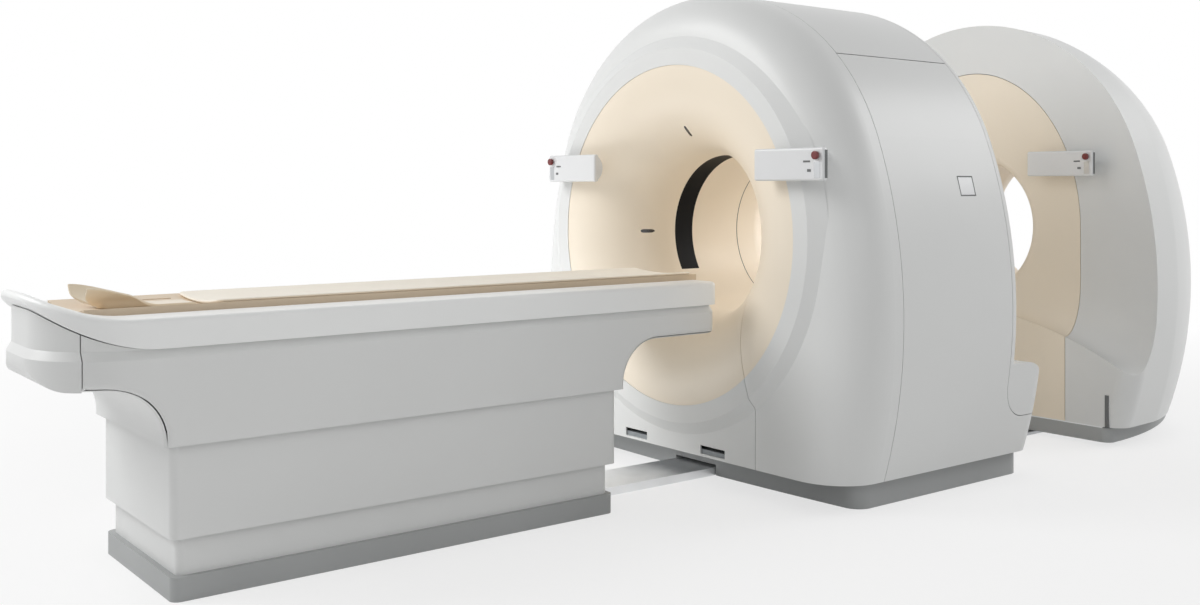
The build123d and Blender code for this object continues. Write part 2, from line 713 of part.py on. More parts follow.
def ct_ring_motor():
    return ring_y(MOTOR_R, MOTOR_R + MOTOR_WALL, BULKHEAD_FRONT - MOTOR_DEPTH, BULKHEAD_FRONT)


def rotor_drum():
    disc_rear = ROTOR_DISC_FRONT + ROTOR_DISC_WALL
    sleeve_r = ROTOR_SLEEVE_R + ROTOR_SLEEVE_WALL
    magnet_r = MOTOR_R + MOTOR_WALL + MAGNET_AIR_GAP
    drum = ring_y(ROTOR_SLEEVE_R, sleeve_r, ROTOR_DISC_FRONT, ROTOR_SLEEVE_REAR)
    drum += ring_y(ROTOR_SLEEVE_R, ROTOR_R, ROTOR_DISC_FRONT, disc_rear)
    drum += ring_y(
        ROTOR_SLEEVE_R,
        BEARING_RACE_R - RUN_GAP,
        BULKHEAD_FRONT + BEARING_RACE_MARGIN,
        BULKHEAD_FRONT + BULKHEAD_WALL - BEARING_RACE_MARGIN,
    )
    drum += ring_y(ROTOR_R - ROTOR_RIM_WALL, ROTOR_R, ROTOR_DISC_FRONT - ROTOR_RIM_DEPTH, disc_rear)
    drum += ring_y(magnet_r, magnet_r + MAGNET_WALL, ROTOR_DISC_FRONT, disc_rear + MAGNET_DEPTH)
    return drum


def slip_ring():
    inner_r = ROTOR_SLEEVE_R + ROTOR_SLEEVE_WALL
    rear = SLIP_RING_FRONT + SLIP_RING_WIDTH
    return ring_y(inner_r + SEAT_GAP, inner_r + SLIP_RING_WALL, SLIP_RING_FRONT, rear)


def xray_tube():
    body = prism_y(
        Pos(0, TUBE_ORBIT_R) * Circle(TUBE_R), ROTOR_DISC_FRONT - TUBE_LENGTH, ROTOR_DISC_FRONT, ISO_Z
    )
    return fillet(body.faces().sort_by(Axis.Y)[0].edges(), TUBE_END_ROUND)


def collimator():
    top_z = ISO_Z + TUBE_ORBIT_R - TUBE_R / 2
    bottom_z = ISO_Z + TUBE_ORBIT_R - TUBE_R - COLLIMATOR_HEIGHT
    half = COLLIMATOR_HALF_WIDTH
    body = block((-half, half), (-COLLIMATOR_FRONT, ROTOR_DISC_FRONT), (bottom_z, top_z))
    body -= prism_y(
        Pos(0, TUBE_ORBIT_R) * Circle(TUBE_R + SEAT_GAP), -COLLIMATOR_FRONT, ROTOR_DISC_FRONT, ISO_Z
    )
    slit = COLLIMATOR_SLIT_WIDTH / 2
    return body - block((-half / 2, half / 2), (-slit, slit), (bottom_z, top_z))


def detector_arc():
    """Arc of detector modules facing the tube."""
    ring = ring_y(DETECTOR_IN_R, DETECTOR_OUT_R, -DETECTOR_FRONT, ROTOR_DISC_FRONT)
    reach = DETECTOR_OUT_R + OVERRUN
    half = reach * math.tan(math.radians(DETECTOR_HALF_ANGLE))
    wedge = Polygon((0, 0), (-half, -reach), (half, -reach), align=None)
    return ring & prism_y(wedge, -DETECTOR_FRONT, ROTOR_DISC_FRONT, ISO_Z)


def hv_generators():
    low_z = ISO_Z - GENERATOR_HEIGHT / 2
    high_z = ISO_Z + GENERATOR_HEIGHT / 2
    outer_x = GENERATOR_INNER_X + GENERATOR_WIDTH
    y_span = (ROTOR_DISC_FRONT - GENERATOR_DEPTH, ROTOR_DISC_FRONT)
    body = block((GENERATOR_INNER_X, outer_x), y_span, (low_z, high_z))
    body = fillet(body.edges().filter_by(Axis.Y), GENERATOR_ROUND)
    return body + mirrored(body)


# Bore

def below_window():
    """Wedge under the X-ray window."""
    reach = BORE_R + OVERRUN
    drop = reach * math.tan(math.radians(WINDOW_DIP_ANGLE))
    low = -2 * reach
    wedge = Polygon((0, 0), (-reach, -drop), (-reach, low), (reach, low), (reach, -drop), align=None)
    return prism_y(wedge, -WINDOW_HALF - OVERRUN, WINDOW_HALF + OVERRUN, ISO_Z)


def xray_window():
    return ring_y(BORE_R, BORE_R + WINDOW_WALL, -WINDOW_HALF, WINDOW_HALF) - below_window()


def ct_bore_liner():
    """Bore wall behind the window, with a tongue that closes the ring under it."""
    tongue = ring_y(BORE_R, BORE_R + LINER_WALL, -WINDOW_HALF, WINDOW_HALF) & below_window()
    return ring_y(BORE_R, BORE_R + LINER_WALL, WINDOW_HALF, LINER_REACH) + tongue


# Control panels and stop buttons

def panel_body(inner_x, middle_z, face_y):
    outer_x = inner_x + PANEL_WIDTH
    half = PANEL_HEIGHT / 2
    plate = block((inner_x, outer_x), (face_y, face_y + PANEL_DEPTH), (middle_z - half, middle_z + half))
    return fillet(plate.edges(), PANEL_ROUND) + panel_housing(inner_x, middle_z, face_y)


def panel_housing(inner_x, middle_z, face_y):
    """Rounded back of the panel's inner part."""
    half = PANEL_HEIGHT / 2 - PANEL_HOUSING_MARGIN
    span = (inner_x + PANEL_HOUSING_MARGIN, inner_x + PANEL_HOUSING_WIDTH)
    tube = prism_x(Pos(face_y, middle_z) * Ellipse(PANEL_HOUSING_DEPTH, half), *span)
    depth_span = (face_y + PANEL_ROUND, face_y + 2 * PANEL_HOUSING_DEPTH)
    return tube & block(span, depth_span, (middle_z - half, middle_z + half))


def panel_foot(inner_x, middle_z, face_y, inset, rear_y):
    """Foot behind the panel's outer end, long enough to reach into the cover."""
    outer_x = inner_x + PANEL_WIDTH - inset
    half = PANEL_FOOT_HEIGHT / 2
    return block(
        (outer_x - PANEL_FOOT_WIDTH, outer_x),
        (face_y + PANEL_DEPTH, rear_y),
        (middle_z - half, middle_z + half),
    )


def button_place(inner_x, middle_z):
    return inner_x + PANEL_WIDTH - BUTTON_EDGE, middle_z + PANEL_HEIGHT / 2 - BUTTON_EDGE


def stem_hole(place, face_y):
    depth = BUTTON_STEM_DEPTH + 2 * BUTTON_TRAVEL
    hole = Pos(*place) * Circle(BUTTON_STEM_R + SEAT_GAP)
    return prism_y(hole, face_y - OVERRUN, face_y + depth)


def stop_button(place, face_y):
    head_y = face_y - BUTTON_LIFT
    head = prism_y(Pos(*place) * Circle(BUTTON_R), head_y - BUTTON_HEAD, head_y)
    head = fillet(head.faces().sort_by(Axis.Y)[0].edges(), BUTTON_ROUND)
    return head + prism_y(Pos(*place) * Circle(BUTTON_STEM_R), head_y, face_y + BUTTON_STEM_DEPTH)


def ct_control_panel(inner_x, foot_inset):
    face_y = CT_RING_Y - CT_PANEL_STAND_OFF
    place = button_place(inner_x, CT_PANEL_MID_Z)
    foot = panel_foot(inner_x, CT_PANEL_MID_Z, face_y, foot_inset, CT_SEAM_Y)
    foot -= ct_front_body(0)
    body = panel_body(inner_x, CT_PANEL_MID_Z, face_y) + foot
    return body - stem_hole(place, face_y), stop_button(place, face_y)


def pet_control_panel():
    face_y = PET_WALL_Y - PET_PANEL_STAND_OFF
    place = button_place(PET_PANEL_INNER_X, PET_PANEL_MID_Z)
    foot = panel_foot(PET_PANEL_INNER_X, PET_PANEL_MID_Z, face_y, PET_PANEL_FOOT_INSET, PET_WALL_Y)
    body = panel_body(PET_PANEL_INNER_X, PET_PANEL_MID_Z, face_y) + foot
    return body - stem_hole(place, face_y), stop_button(place, face_y)


# PET covers

def pet_inset(y):
    """How far the sides and top have drawn in at y."""
    run = max(y - PET_WALL_Y, 0)
    return PET_PLAN_R - math.sqrt(PET_PLAN_R**2 - run**2)


def pet_section(y, inset, bottom_z):
    return at_y(y) * arch_face(PET_ARCH, pet_inset(y) + inset, bottom_z)


def pet_upper_body(inset, bottom_z):
    """Rounded body that narrows towards the rear."""
    front_y = PET_WALL_Y + inset
    rear_y = PET_REAR_REACH - inset
    count = max(2, round((rear_y - front_y) / PET_STATION_STEP))
    stations = [front_y + (rear_y - front_y) * step / count for step in range(count + 1)]
    body = loft([pet_section(y, inset, bottom_z) for y in stations])
    body = round_front(body, PET_FRONT_ROUND - inset, bottom_z)
    return round_rear(body, PET_REAR_ROUND - inset, bottom_z)


def pet_sweep_tool(inset):
    """Everything ahead of the wall and above the foot's hollow sweep."""
    axis_z = PET_FOOT_EDGE_Z - PET_FOOT_EDGE_R
    low_r = PET_FOOT_EDGE_R - inset
    top_r = PET_FOOT_EDGE_R + PET_SWEEP_HEIGHT
    far_r = PET_FOOT_EDGE_R + PET_TOP_Z
    front_y = PET_FOOT_REACH - OVERRUN
    foot_y = PET_FOOT_REACH
    wall_y = PET_WALL_Y + inset
    profile = make_face([
        Line((low_r, front_y), (low_r, foot_y)),
        EllipticalCenterArc((top_r, foot_y), top_r - low_r, wall_y - foot_y, 90, arc_size=90),
        Line((top_r, wall_y), (far_r, wall_y)),
        Line((far_r, wall_y), (far_r, front_y)),
        Line((far_r, front_y), (low_r, front_y)),
    ])
    axis = Axis((0, 0, axis_z), (0, 1, 0))
    upright = Plane(origin=(0, 0, axis_z), x_dir=(0, 0, 1), z_dir=(-1, 0, 0))
    tool = revolve(upright * profile, axis, revolution_arc=2 * PET_SWEEP_HALF_ANGLE)
    return tool.rotate(axis, -PET_SWEEP_HALF_ANGLE)


def pet_foot_body(inset, bottom_z):
    front_y = PET_FOOT_REACH + inset
    rear_y = PET_WALL_Y + PET_FRONT_ROUND
    body = loft([pet_section(y, inset, bottom_z) for y in (front_y, rear_y)], ruled=True)
    body = round_front(body, PET_FOOT_ROUND - inset, bottom_z)
    return body - pet_sweep_tool(inset)


def pet_body(inset):
    bottom_z = PET_COVER_BOTTOM_Z - (OVERRUN if inset else 0)
    return pet_upper_body(inset, bottom_z) + pet_foot_body(inset, bottom_z)


def pet_cream_prism(grow):
    """Tool for the cream arch panel: upright sides under a tall half ellipse."""
    half = PET_CREAM_HALF_WIDTH + grow
    rise = PET_CREAM_RISE + grow
    low_z = PET_COVER_BOTTOM_Z - OVERRUN
    face = make_face([
        Line((-half, low_z), (half, low_z)),
        Line((half, low_z), (half, ISO_Z)),
        EllipticalCenterArc((0, ISO_Z), half, rise, 0, arc_size=180),
        Line((-half, ISO_Z), (-half, low_z)),
    ])
    return prism_y(face, PET_FOOT_REACH - OVERRUN, PET_WALL_Y + SKIN)


def pet_covers():
    shell = pet_body(0) - pet_body(SKIN)
    hole = disc_y(PET_LIP_R + SEAT_GAP, PET_FOOT_REACH - OVERRUN, PET_SEAM_REACH)
    reach = PET_HALF_WIDTH + OVERRUN
    z_span = (0, PET_TOP_Z + OVERRUN)
    front = shell & block((-reach, reach), (PET_FOOT_REACH - OVERRUN, PET_SEAM_REACH), z_span)
    rear = shell & block((-reach, reach), (PET_SEAM_REACH + SEAM, PET_REAR_REACH + OVERRUN), z_span)
    rear -= disc_y(PET_REAR_MOUTH_R + SEAT_GAP, PET_SEAM_REACH, PET_REAR_REACH + OVERRUN)
    cream = (front & pet_cream_prism(0)) - hole
    white = front - pet_cream_prism(SEAM)
    return white, cream, rear


def pet_bore_tube():
    lip_y = PET_WALL_Y + PET_LIP_DEPTH
    tube = flare(PET_LIP_R, PET_WALL_Y, BORE_R, lip_y, PET_TUBE_WALL)
    return tube + ring_y(BORE_R, BORE_R + PET_TUBE_WALL, lip_y, PET_REAR_THROAT)


def pet_rear_funnel():
    mouth_y = PET_REAR_REACH - FUNNEL_SET_BACK
    flange_y = PET_REAR_REACH - SKIN
    shell = flare(PET_REAR_MOUTH_R, mouth_y, BORE_R, PET_REAR_THROAT, LINER_WALL)
    return shell + ring_y(
        PET_REAR_MOUTH_R - FUNNEL_FLANGE_WALL,
        PET_REAR_MOUTH_R + FUNNEL_FLANGE_WIDTH,
        flange_y - FUNNEL_FLANGE_WALL,
        flange_y,
    )


# PET inside, base and running gear

def pet_plinth_plan(inset):
    half = PET_PLINTH_HALF_WIDTH - inset
    front_y = PET_PLINTH_FRONT + inset
    rear_y = PET_PLINTH_REAR - inset

    def side_x(y):
        run = y - front_y
        return half - PET_PLINTH_PLAN_R + math.sqrt(PET_PLINTH_PLAN_R**2 - run**2)

    middle_y = (front_y + rear_y) / 2
    return make_face([
        Line((-half, front_y), (half, front_y)),
        ThreePointArc((half, front_y), (side_x(middle_y), middle_y), (side_x(rear_y), rear_y)),
        Line((side_x(rear_y), rear_y), (-side_x(rear_y), rear_y)),
        ThreePointArc((-side_x(rear_y), rear_y), (-side_x(middle_y), middle_y), (-half, front_y)),
    ])


def pet_plinth():
    body = prism_z(pet_plinth_plan(0), PET_FLOOR_GAP, PET_PLINTH_TOP_Z)
    body = fillet(body.edges().filter_by(Axis.Z), PET_PLINTH_CORNER)
    return body - prism_z(pet_plinth_plan(PET_PLINTH_WALL), 0, PET_PLINTH_TOP_Z)


def axle_z():
    return RAIL_HEIGHT + SEAT_GAP + WHEEL_R


def pet_base_frame():
    plan = Polygon(
        (-PET_BASE_HALF_WIDTH, PET_FOOT_REACH + SKIN),
        (PET_BASE_HALF_WIDTH, PET_FOOT_REACH + SKIN),
        (PET_BASE_HALF_WIDTH, PET_BASE_SHOULDER),
        (PET_BASE_REAR_HALF_WIDTH, PET_REAR_REACH - SKIN),
        (-PET_BASE_REAR_HALF_WIDTH, PET_REAR_REACH - SKIN),
        (-PET_BASE_HALF_WIDTH, PET_BASE_SHOULDER),
        align=None,
    )
    frame = prism_z(plan, PET_PLINTH_TOP_Z, PET_BASE_TOP_Z)
    foot_half = PET_BULKHEAD_FOOT_HALF_WIDTH
    legs = Pos(0, (PET_BASE_TOP_Z - ISO_Z) / 2) * Rectangle(2 * foot_half, ISO_Z - PET_BASE_TOP_Z)
    plate = Circle(PET_BULKHEAD_R) + legs
    plate -= Circle(BORE_R + PET_TUBE_WALL + SEAT_GAP)
    gap = PET_BULKHEAD_WALL + PET_RING_LENGTH
    for front in (PET_BULKHEAD_FRONT, PET_BULKHEAD_FRONT + gap):
        frame += prism_y(plate, front, front + PET_BULKHEAD_WALL, ISO_Z)
    half = AXLE_BLOCK_SIZE / 2
    for axle_y in (FRONT_AXLE_REACH, REAR_AXLE_REACH):
        for side in (1, -1):
            middle = side * AXLE_BLOCK_OFFSET
            frame += block(
                (middle - half, middle + half),
                (axle_y - half, axle_y + half),
                (axle_z() - half, PET_PLINTH_TOP_Z),
            )
        frame -= axle(axle_y, AXLE_R + SEAT_GAP)
    return frame


def axle(axle_y, radius):
    reach = RAIL_OFFSET + WHEEL_WIDTH / 2
    return prism_x(Pos(axle_y, axle_z()) * Circle(radius), -reach, reach)


def wheelset(axle_y):
    body = axle(axle_y, AXLE_R)
    half = WHEEL_WIDTH / 2
    for side in (1, -1):
        middle = side * RAIL_OFFSET
        body += prism_x(Pos(axle_y, axle_z()) * Circle(WHEEL_R), middle - half, middle + half)
    return body


def floor_rails():
    half = RAIL_WIDTH / 2
    rail = block(
        (RAIL_OFFSET - half, RAIL_OFFSET + half), (CT_PLINTH_REAR, RAIL_END), (0, RAIL_HEIGHT)
    )
    return rail + mirrored(rail)


def pet_detector_ring():
    """Polygonal ring of crystal modules between the bulkheads."""
    front = PET_BULKHEAD_FRONT + PET_BULKHEAD_WALL
    plate = Circle(PET_RING_OUT_R) - RegularPolygon(PET_RING_IN_R, PET_RING_SIDE_COUNT)
    return prism_y(plate, front, front + PET_RING_LENGTH, ISO_Z)


def pet_bumpers():
    """Upright rubber strips on the foot's outer corners."""
    half = PET_BUMPER_WIDTH / 2
    strip = block(
        (PET_BUMPER_X - half, PET_BUMPER_X + half),
        (PET_FOOT_REACH - PET_BUMPER_PROUD, PET_FOOT_REACH + PET_FOOT_ROUND),
        (PET_COVER_BOTTOM_Z, PET_BUMPER_TOP_Z),
    )
    strip -= pet_foot_body(0, PET_COVER_BOTTOM_Z)
    return strip + mirrored(strip)


# Couch

def couch_sleeve(grow, low_z, high_z, wall):
    """Open rectangular cover with rounded corners, grown from the lower cover's outline."""
    width = 2 * (LOWER_HALF_WIDTH + grow)
    length = LOWER_FOOT - LOWER_HEAD + 2 * grow
    middle_y = -(LOWER_FOOT + LOWER_HEAD) / 2
    outer = RectangleRounded(width, length, COVER_CORNER)
    inner = RectangleRounded(width - 2 * wall, length - 2 * wall, COVER_CORNER - wall)
    return prism_z(Pos(0, middle_y) * (outer - inner), low_z, high_z)


def couch_plinth():
    length = COUCH_PLINTH_FOOT - COUCH_PLINTH_HEAD
    middle_y = -(COUCH_PLINTH_FOOT + COUCH_PLINTH_HEAD) / 2
    plan = RectangleRounded(2 * COUCH_PLINTH_HALF_WIDTH, length, COUCH_PLINTH_CORNER)
    return prism_z(Pos(0, middle_y) * plan, 0, COUCH_PLINTH_HEIGHT)


def bow_z(start, radius, base_z, y):
    """Height of a line that leaves base_z at start and sweeps up towards the foot end."""
    run = max(-y - start, 0)
    return base_z + radius - math.sqrt(radius**2 - run**2)


def bow_arc(start, radius, base_z, end_y):
    """The swept stretch of such a line, from its start to end_y."""
    middle_y = (end_y - start) / 2
    return ThreePointArc(
        (-start, base_z),
        (middle_y, bow_z(start, radius, base_z, middle_y)),
        (end_y, bow_z(start, radius, base_z, end_y)),
    )


def upper_profile(inset):
    """Side view of the upper shell: a column with a swept arm at each end."""
    lift = OVERRUN if inset else 0
    head_y = -HEAD_ARM_REACH - inset
    foot_y = -FOOT_ARM_REACH + inset
    arm_z = ARM_BOTTOM_Z + inset
    low_z = UPPER_BOTTOM_Z - lift
    column_head = -(LOWER_HEAD - 2 * COVER_STEP) - inset
    column_foot = -(LOWER_FOOT + 2 * COVER_STEP) + inset
    sweep = ARM_SWEEP_R + inset
    top_z = UPPER_TOP_Z + lift
    foot_top_z = bow_z(RIM_BOW_START, RIM_BOW_R + SEAM, UPPER_TOP_Z, foot_y) + lift
    sweep_z = arm_z - sweep
    edges = [
        Line((column_foot, low_z), (column_head, low_z)),
        Line((column_head, low_z), (column_head, sweep_z)),
        CenterArc((column_head + sweep, sweep_z), sweep, 90, 90),
        Line((column_head + sweep, arm_z), (head_y, arm_z)),
        Line((head_y, arm_z), (head_y, top_z)),
        Line((head_y, top_z), (-RIM_BOW_START, top_z)),
        bow_arc(RIM_BOW_START, RIM_BOW_R + SEAM, top_z, foot_y),
        Line((foot_y, foot_top_z), (foot_y, arm_z)),
        Line((foot_y, arm_z), (column_foot - sweep, arm_z)),
        CenterArc((column_foot - sweep, sweep_z), sweep, 0, 90),
        Line((column_foot, sweep_z), (column_foot, low_z)),
    ]
    return make_face(edges)


def shoulder_body(inset):
    """Plan of the couch top under its rim, upright below the shoulder and leaning in above it."""
    shrink = RIM_HALF_WIDTH - UPPER_HALF_WIDTH + inset
    knee_z = UPPER_TOP_Z - SHOULDER_DROP
    lean = math.degrees(math.atan(SHOULDER_INSET / SHOULDER_DROP))
    body = prism_z(rim_plan(shrink), UPPER_BOTTOM_Z - 2 * OVERRUN, knee_z)
    body += extrude(Pos(0, 0, knee_z) * rim_plan(shrink), SHOULDER_DROP, taper=lean)
    return body + prism_z(rim_plan(shrink + SHOULDER_INSET), UPPER_TOP_Z, RIM_TOP_Z + RIM_TOP_BOW_R)


def frame_tongue():
    """End of the top frame that passes through the shell's foot wall to the end cap."""
    half = FRAME_TONGUE_HALF_WIDTH
    y_span = (-FOOT_ARM_REACH - SEAM, -FOOT_ARM_REACH + UPPER_WALL)
    return block((-half, half), y_span, (TOP_FRAME_BOTTOM_Z, RIM_BOTTOM_Z))


def under_edges(body):
    """Edges along both sides of the upper shell's underside."""
    knee_z = UPPER_TOP_Z - SHOULDER_DROP
    found = []
    for edge in body.edges():
        middle = edge.center()
        upright = edge.bounding_box().size.Y < SEAM
        beside = abs(middle.X) > LOWER_HALF_WIDTH - OVERRUN
        below = UPPER_BOTTOM_Z + SEAM < middle.Z < knee_z - SEAM
        between = -FOOT_ARM_REACH + SEAM < middle.Y < -HEAD_ARM_REACH - SEAM
        if beside and below and between and not upright:
            found.append(edge)
    return found


def couch_upper_shell():
    """Hollow shell with an arm at each end, open to the lift columns below."""
    wide = UPPER_HALF_WIDTH + OVERRUN
    body = prism_x(upper_profile(0), -wide, wide) & shoulder_body(0)
    body = fillet(under_edges(body), UPPER_EDGE_ROUND)
    body -= prism_x(upper_profile(UPPER_WALL), -wide, wide) & shoulder_body(UPPER_WALL)
    return body - frame_tongue()


def rim_plan(shrink):
    half = RIM_HALF_WIDTH - shrink
    head_y = -RIM_HEAD
    foot_y = -RIM_FOOT + shrink
    plan = Polygon((-half, foot_y), (half, foot_y), (half, head_y), (-half, head_y), align=None)
    plan = fillet(plan.vertices().sort_by(Axis.Y)[:2], RIM_FOOT_CORNER - shrink)
    return fillet(plan.vertices().sort_by(Axis.Y)[-2:], RIM_HEAD_CORNER)


def rim_top_edges(body):
    """Outer edges of the rim's upper side."""
    found = []
    for edge in body.edges():
        middle = edge.center()
        top_z = bow_z(RIM_TOP_BOW_START, RIM_TOP_BOW_R, RIM_TOP_Z, middle.Y)
        across = abs(middle.X) < TROUGH_HALF_WIDTH and -TROUGH_FOOT < middle.Y < -RIM_HEAD - SEAM
        if abs(middle.Z - top_z) < SEAM and not across:
            found.append(edge)
    return found


def couch_rim():
    """Raised rim round the pallet, swept up at the foot end like a bow."""
    foot_y = -RIM_FOOT - OVERRUN
    head_y = -RIM_HEAD + OVERRUN
    half = RIM_HALF_WIDTH + OVERRUN
    band = make_face([
        Line((head_y, RIM_BOTTOM_Z), (-RIM_BOW_START, RIM_BOTTOM_Z)),
        bow_arc(RIM_BOW_START, RIM_BOW_R, RIM_BOTTOM_Z, foot_y),
        Line(
            (foot_y, bow_z(RIM_BOW_START, RIM_BOW_R, RIM_BOTTOM_Z, foot_y)),
            (foot_y, bow_z(RIM_TOP_BOW_START, RIM_TOP_BOW_R, RIM_TOP_Z, foot_y)),
        ),
        bow_arc(RIM_TOP_BOW_START, RIM_TOP_BOW_R, RIM_TOP_Z, foot_y),
        Line((-RIM_TOP_BOW_START, RIM_TOP_Z), (head_y, RIM_TOP_Z)),
        Line((head_y, RIM_TOP_Z), (head_y, RIM_BOTTOM_Z)),
    ])
    high_z = RIM_TOP_Z + RIM_TOP_BOW_R
    body = prism_x(band, -half, half)
    body &= prism_z(rim_plan(0), RIM_BOTTOM_Z - OVERRUN, high_z)
    body = fillet(rim_top_edges(body), RIM_EDGE_ROUND)
    return body - block(
        (-TROUGH_HALF_WIDTH, TROUGH_HALF_WIDTH),
        (-TROUGH_FOOT, head_y),
        (TROUGH_FLOOR_Z, high_z),
    )


def couch_end_cap():
    """Cover of the foot end, under the rim's bow."""
    inset = RIM_HALF_WIDTH - UPPER_HALF_WIDTH
    head_y = -FOOT_ARM_REACH - SEAM
    foot_y = -RIM_FOOT + inset
    top_r = RIM_BOW_R + SEAM
    centre_y = foot_y + END_CAP_ROUND
    centre_z = ARM_BOTTOM_Z + END_CAP_ROUND
    middle_y = (head_y + foot_y) / 2

    def top(y):
        return y, bow_z(RIM_BOW_START, top_r, UPPER_TOP_Z, y)

    profile = make_face([
        Line((head_y, ARM_BOTTOM_Z), (centre_y, ARM_BOTTOM_Z)),
        CenterArc((centre_y, centre_z), END_CAP_ROUND, 180, 90),
        Line((foot_y, centre_z), top(foot_y)),
        ThreePointArc(top(foot_y), top(middle_y), top(head_y)),
        Line(top(head_y), (head_y, ARM_BOTTOM_Z)),
    ])
    body = prism_x(profile, -UPPER_HALF_WIDTH, UPPER_HALF_WIDTH)
    return body & shoulder_body(0)


def couch_top_frame():
    """Steel frame inside the couch top: a plate on the columns, deep in its middle and in the arms."""
    wide = UPPER_HALF_WIDTH
    head_y = -HEAD_ARM_REACH - UPPER_WALL
    foot_y = -FOOT_ARM_REACH + UPPER_WALL
    arm_head = -LOWER_HEAD + 2 * COVER_STEP
    arm_foot = -LOWER_FOOT - 2 * COVER_STEP
    step = COVER_STEP - COVER_WALL - TOP_FRAME_MARGIN
    half = LOWER_HALF_WIDTH + step
    middle_head = -LOWER_HEAD + step
    middle_foot = -LOWER_FOOT - step
    deep = (TOP_FRAME_BOTTOM_Z, TOP_PLATE_Z)
    frame = block((-wide, wide), (foot_y, head_y), (TOP_PLATE_Z, RIM_BOTTOM_Z))
    frame += block((-wide, wide), (arm_head, head_y), deep)
    frame += block((-wide, wide), (foot_y, arm_foot), deep)
    frame += block((-half, half), (middle_foot, middle_head), deep)
    wall = TOP_FRAME_WALL
    frame -= block((wall - half, half - wall), (middle_foot + wall, middle_head - wall), deep)
    shrink = RIM_HALF_WIDTH - UPPER_HALF_WIDTH + SHOULDER_INSET + 2 * UPPER_WALL
    frame &= prism_z(rim_plan(shrink), TOP_FRAME_BOTTOM_Z - OVERRUN, RIM_TOP_Z)
    return frame + frame_tongue()


def couch_nose():
    """Small wedge below the pallet at the gantry end."""
    low_z = PALLET_RAIL_HEIGHT + TROUGH_FLOOR_Z - NOSE_HEIGHT
    high_z = low_z + NOSE_HEIGHT
    root_y = -RIM_HEAD
    tip_y = root_y + NOSE_LENGTH
    face = Polygon(
        (root_y, low_z), (tip_y, low_z + NOSE_BEVEL), (tip_y, high_z), (root_y, high_z), align=None
    )
    return prism_x(face, -NOSE_HALF_WIDTH, NOSE_HALF_WIDTH)


def pallet_rails():
    half = PALLET_RAIL_WIDTH / 2
    rail = block(
        (RUNNER_OFFSET - half, RUNNER_OFFSET + half),
        (-PALLET_RAIL_FOOT, -RIM_HEAD),
        (TROUGH_FLOOR_Z, TROUGH_FLOOR_Z + PALLET_RAIL_HEIGHT),
    )
    return rail + mirrored(rail)


def column_places():
    """Centres of the two lift columns along the couch."""
    return [-LOWER_HEAD - COLUMN_HEAD_INSET, -LOWER_FOOT + COLUMN_FOOT_INSET]


def square_tube(size, wall, low_z, high_z):
    face = Rectangle(size, size) - Rectangle(size - 2 * wall, size - 2 * wall)
    return prism_z(face, low_z, high_z)


def at_columns(shape):
    first, second = column_places()
    return Pos(0, first) * shape + Pos(0, second) * shape


def lift_column_outer():
    """Fixed stage, slotted on both sides so that the middle stage's yoke can pass."""
    tube = square_tube(COLUMN_OUTER_SIZE, COLUMN_WALL, COUCH_PLINTH_HEIGHT, COLUMN_OUTER_TOP_Z)
    slot = COLUMN_YOKE_WIDTH / 2 + RUN_GAP
    reach = COLUMN_OUTER_SIZE
    tube -= block((-reach, reach), (-slot, slot), (COLUMN_SLOT_BOTTOM_Z, COLUMN_OUTER_TOP_Z))
    return at_columns(tube)


def stage_size(stage):
    """Outer size of a column stage: each runs inside the one before."""
    return COLUMN_OUTER_SIZE - 2 * stage * (COLUMN_WALL + RUN_GAP)


def lift_column_middle():
    """Middle stage, with the yoke that carries the middle cover."""
    size = stage_size(1)
    tube = square_tube(size, COLUMN_WALL, COLUMN_MIDDLE_BOTTOM_Z, COLUMN_MIDDLE_TOP_Z)
    reach = MIDDLE_HALF_WIDTH - COVER_WALL
    yoke = Rectangle(2 * reach, COLUMN_YOKE_WIDTH) - Rectangle(size - COLUMN_WALL, size)
    return at_columns(tube + prism_z(yoke, COLUMN_YOKE_Z, COLUMN_YOKE_Z + COLUMN_YOKE_WALL))


def lift_column_inner():
    """Inner stage, standing up to the couch top's plate."""
    return at_columns(square_tube(stage_size(2), COLUMN_WALL, COLUMN_INNER_BOTTOM_Z, TOP_PLATE_Z))


def couch_middle_cover():
    return couch_sleeve(COVER_STEP, MIDDLE_BOTTOM_Z, MIDDLE_TOP_Z, COVER_WALL)


def couch_lower_cover():
    return couch_sleeve(0, COUCH_PLINTH_HEIGHT, LOWER_TOP_Z, COVER_WALL)


def pallet_top_arc(half, rise):
    """Hollow top line of the pallet, lifted by rise, between the ends at plus and minus half."""
    radius = (PALLET_HALF_WIDTH**2 + PALLET_DISH**2) / (2 * PALLET_DISH)
    floor_z = PALLET_EDGE_Z - PALLET_DISH + rise
    end_z = floor_z + radius - math.sqrt(radius**2 - half**2)
    return ThreePointArc((-half, end_z), (0, floor_z), (half, end_z)), end_z


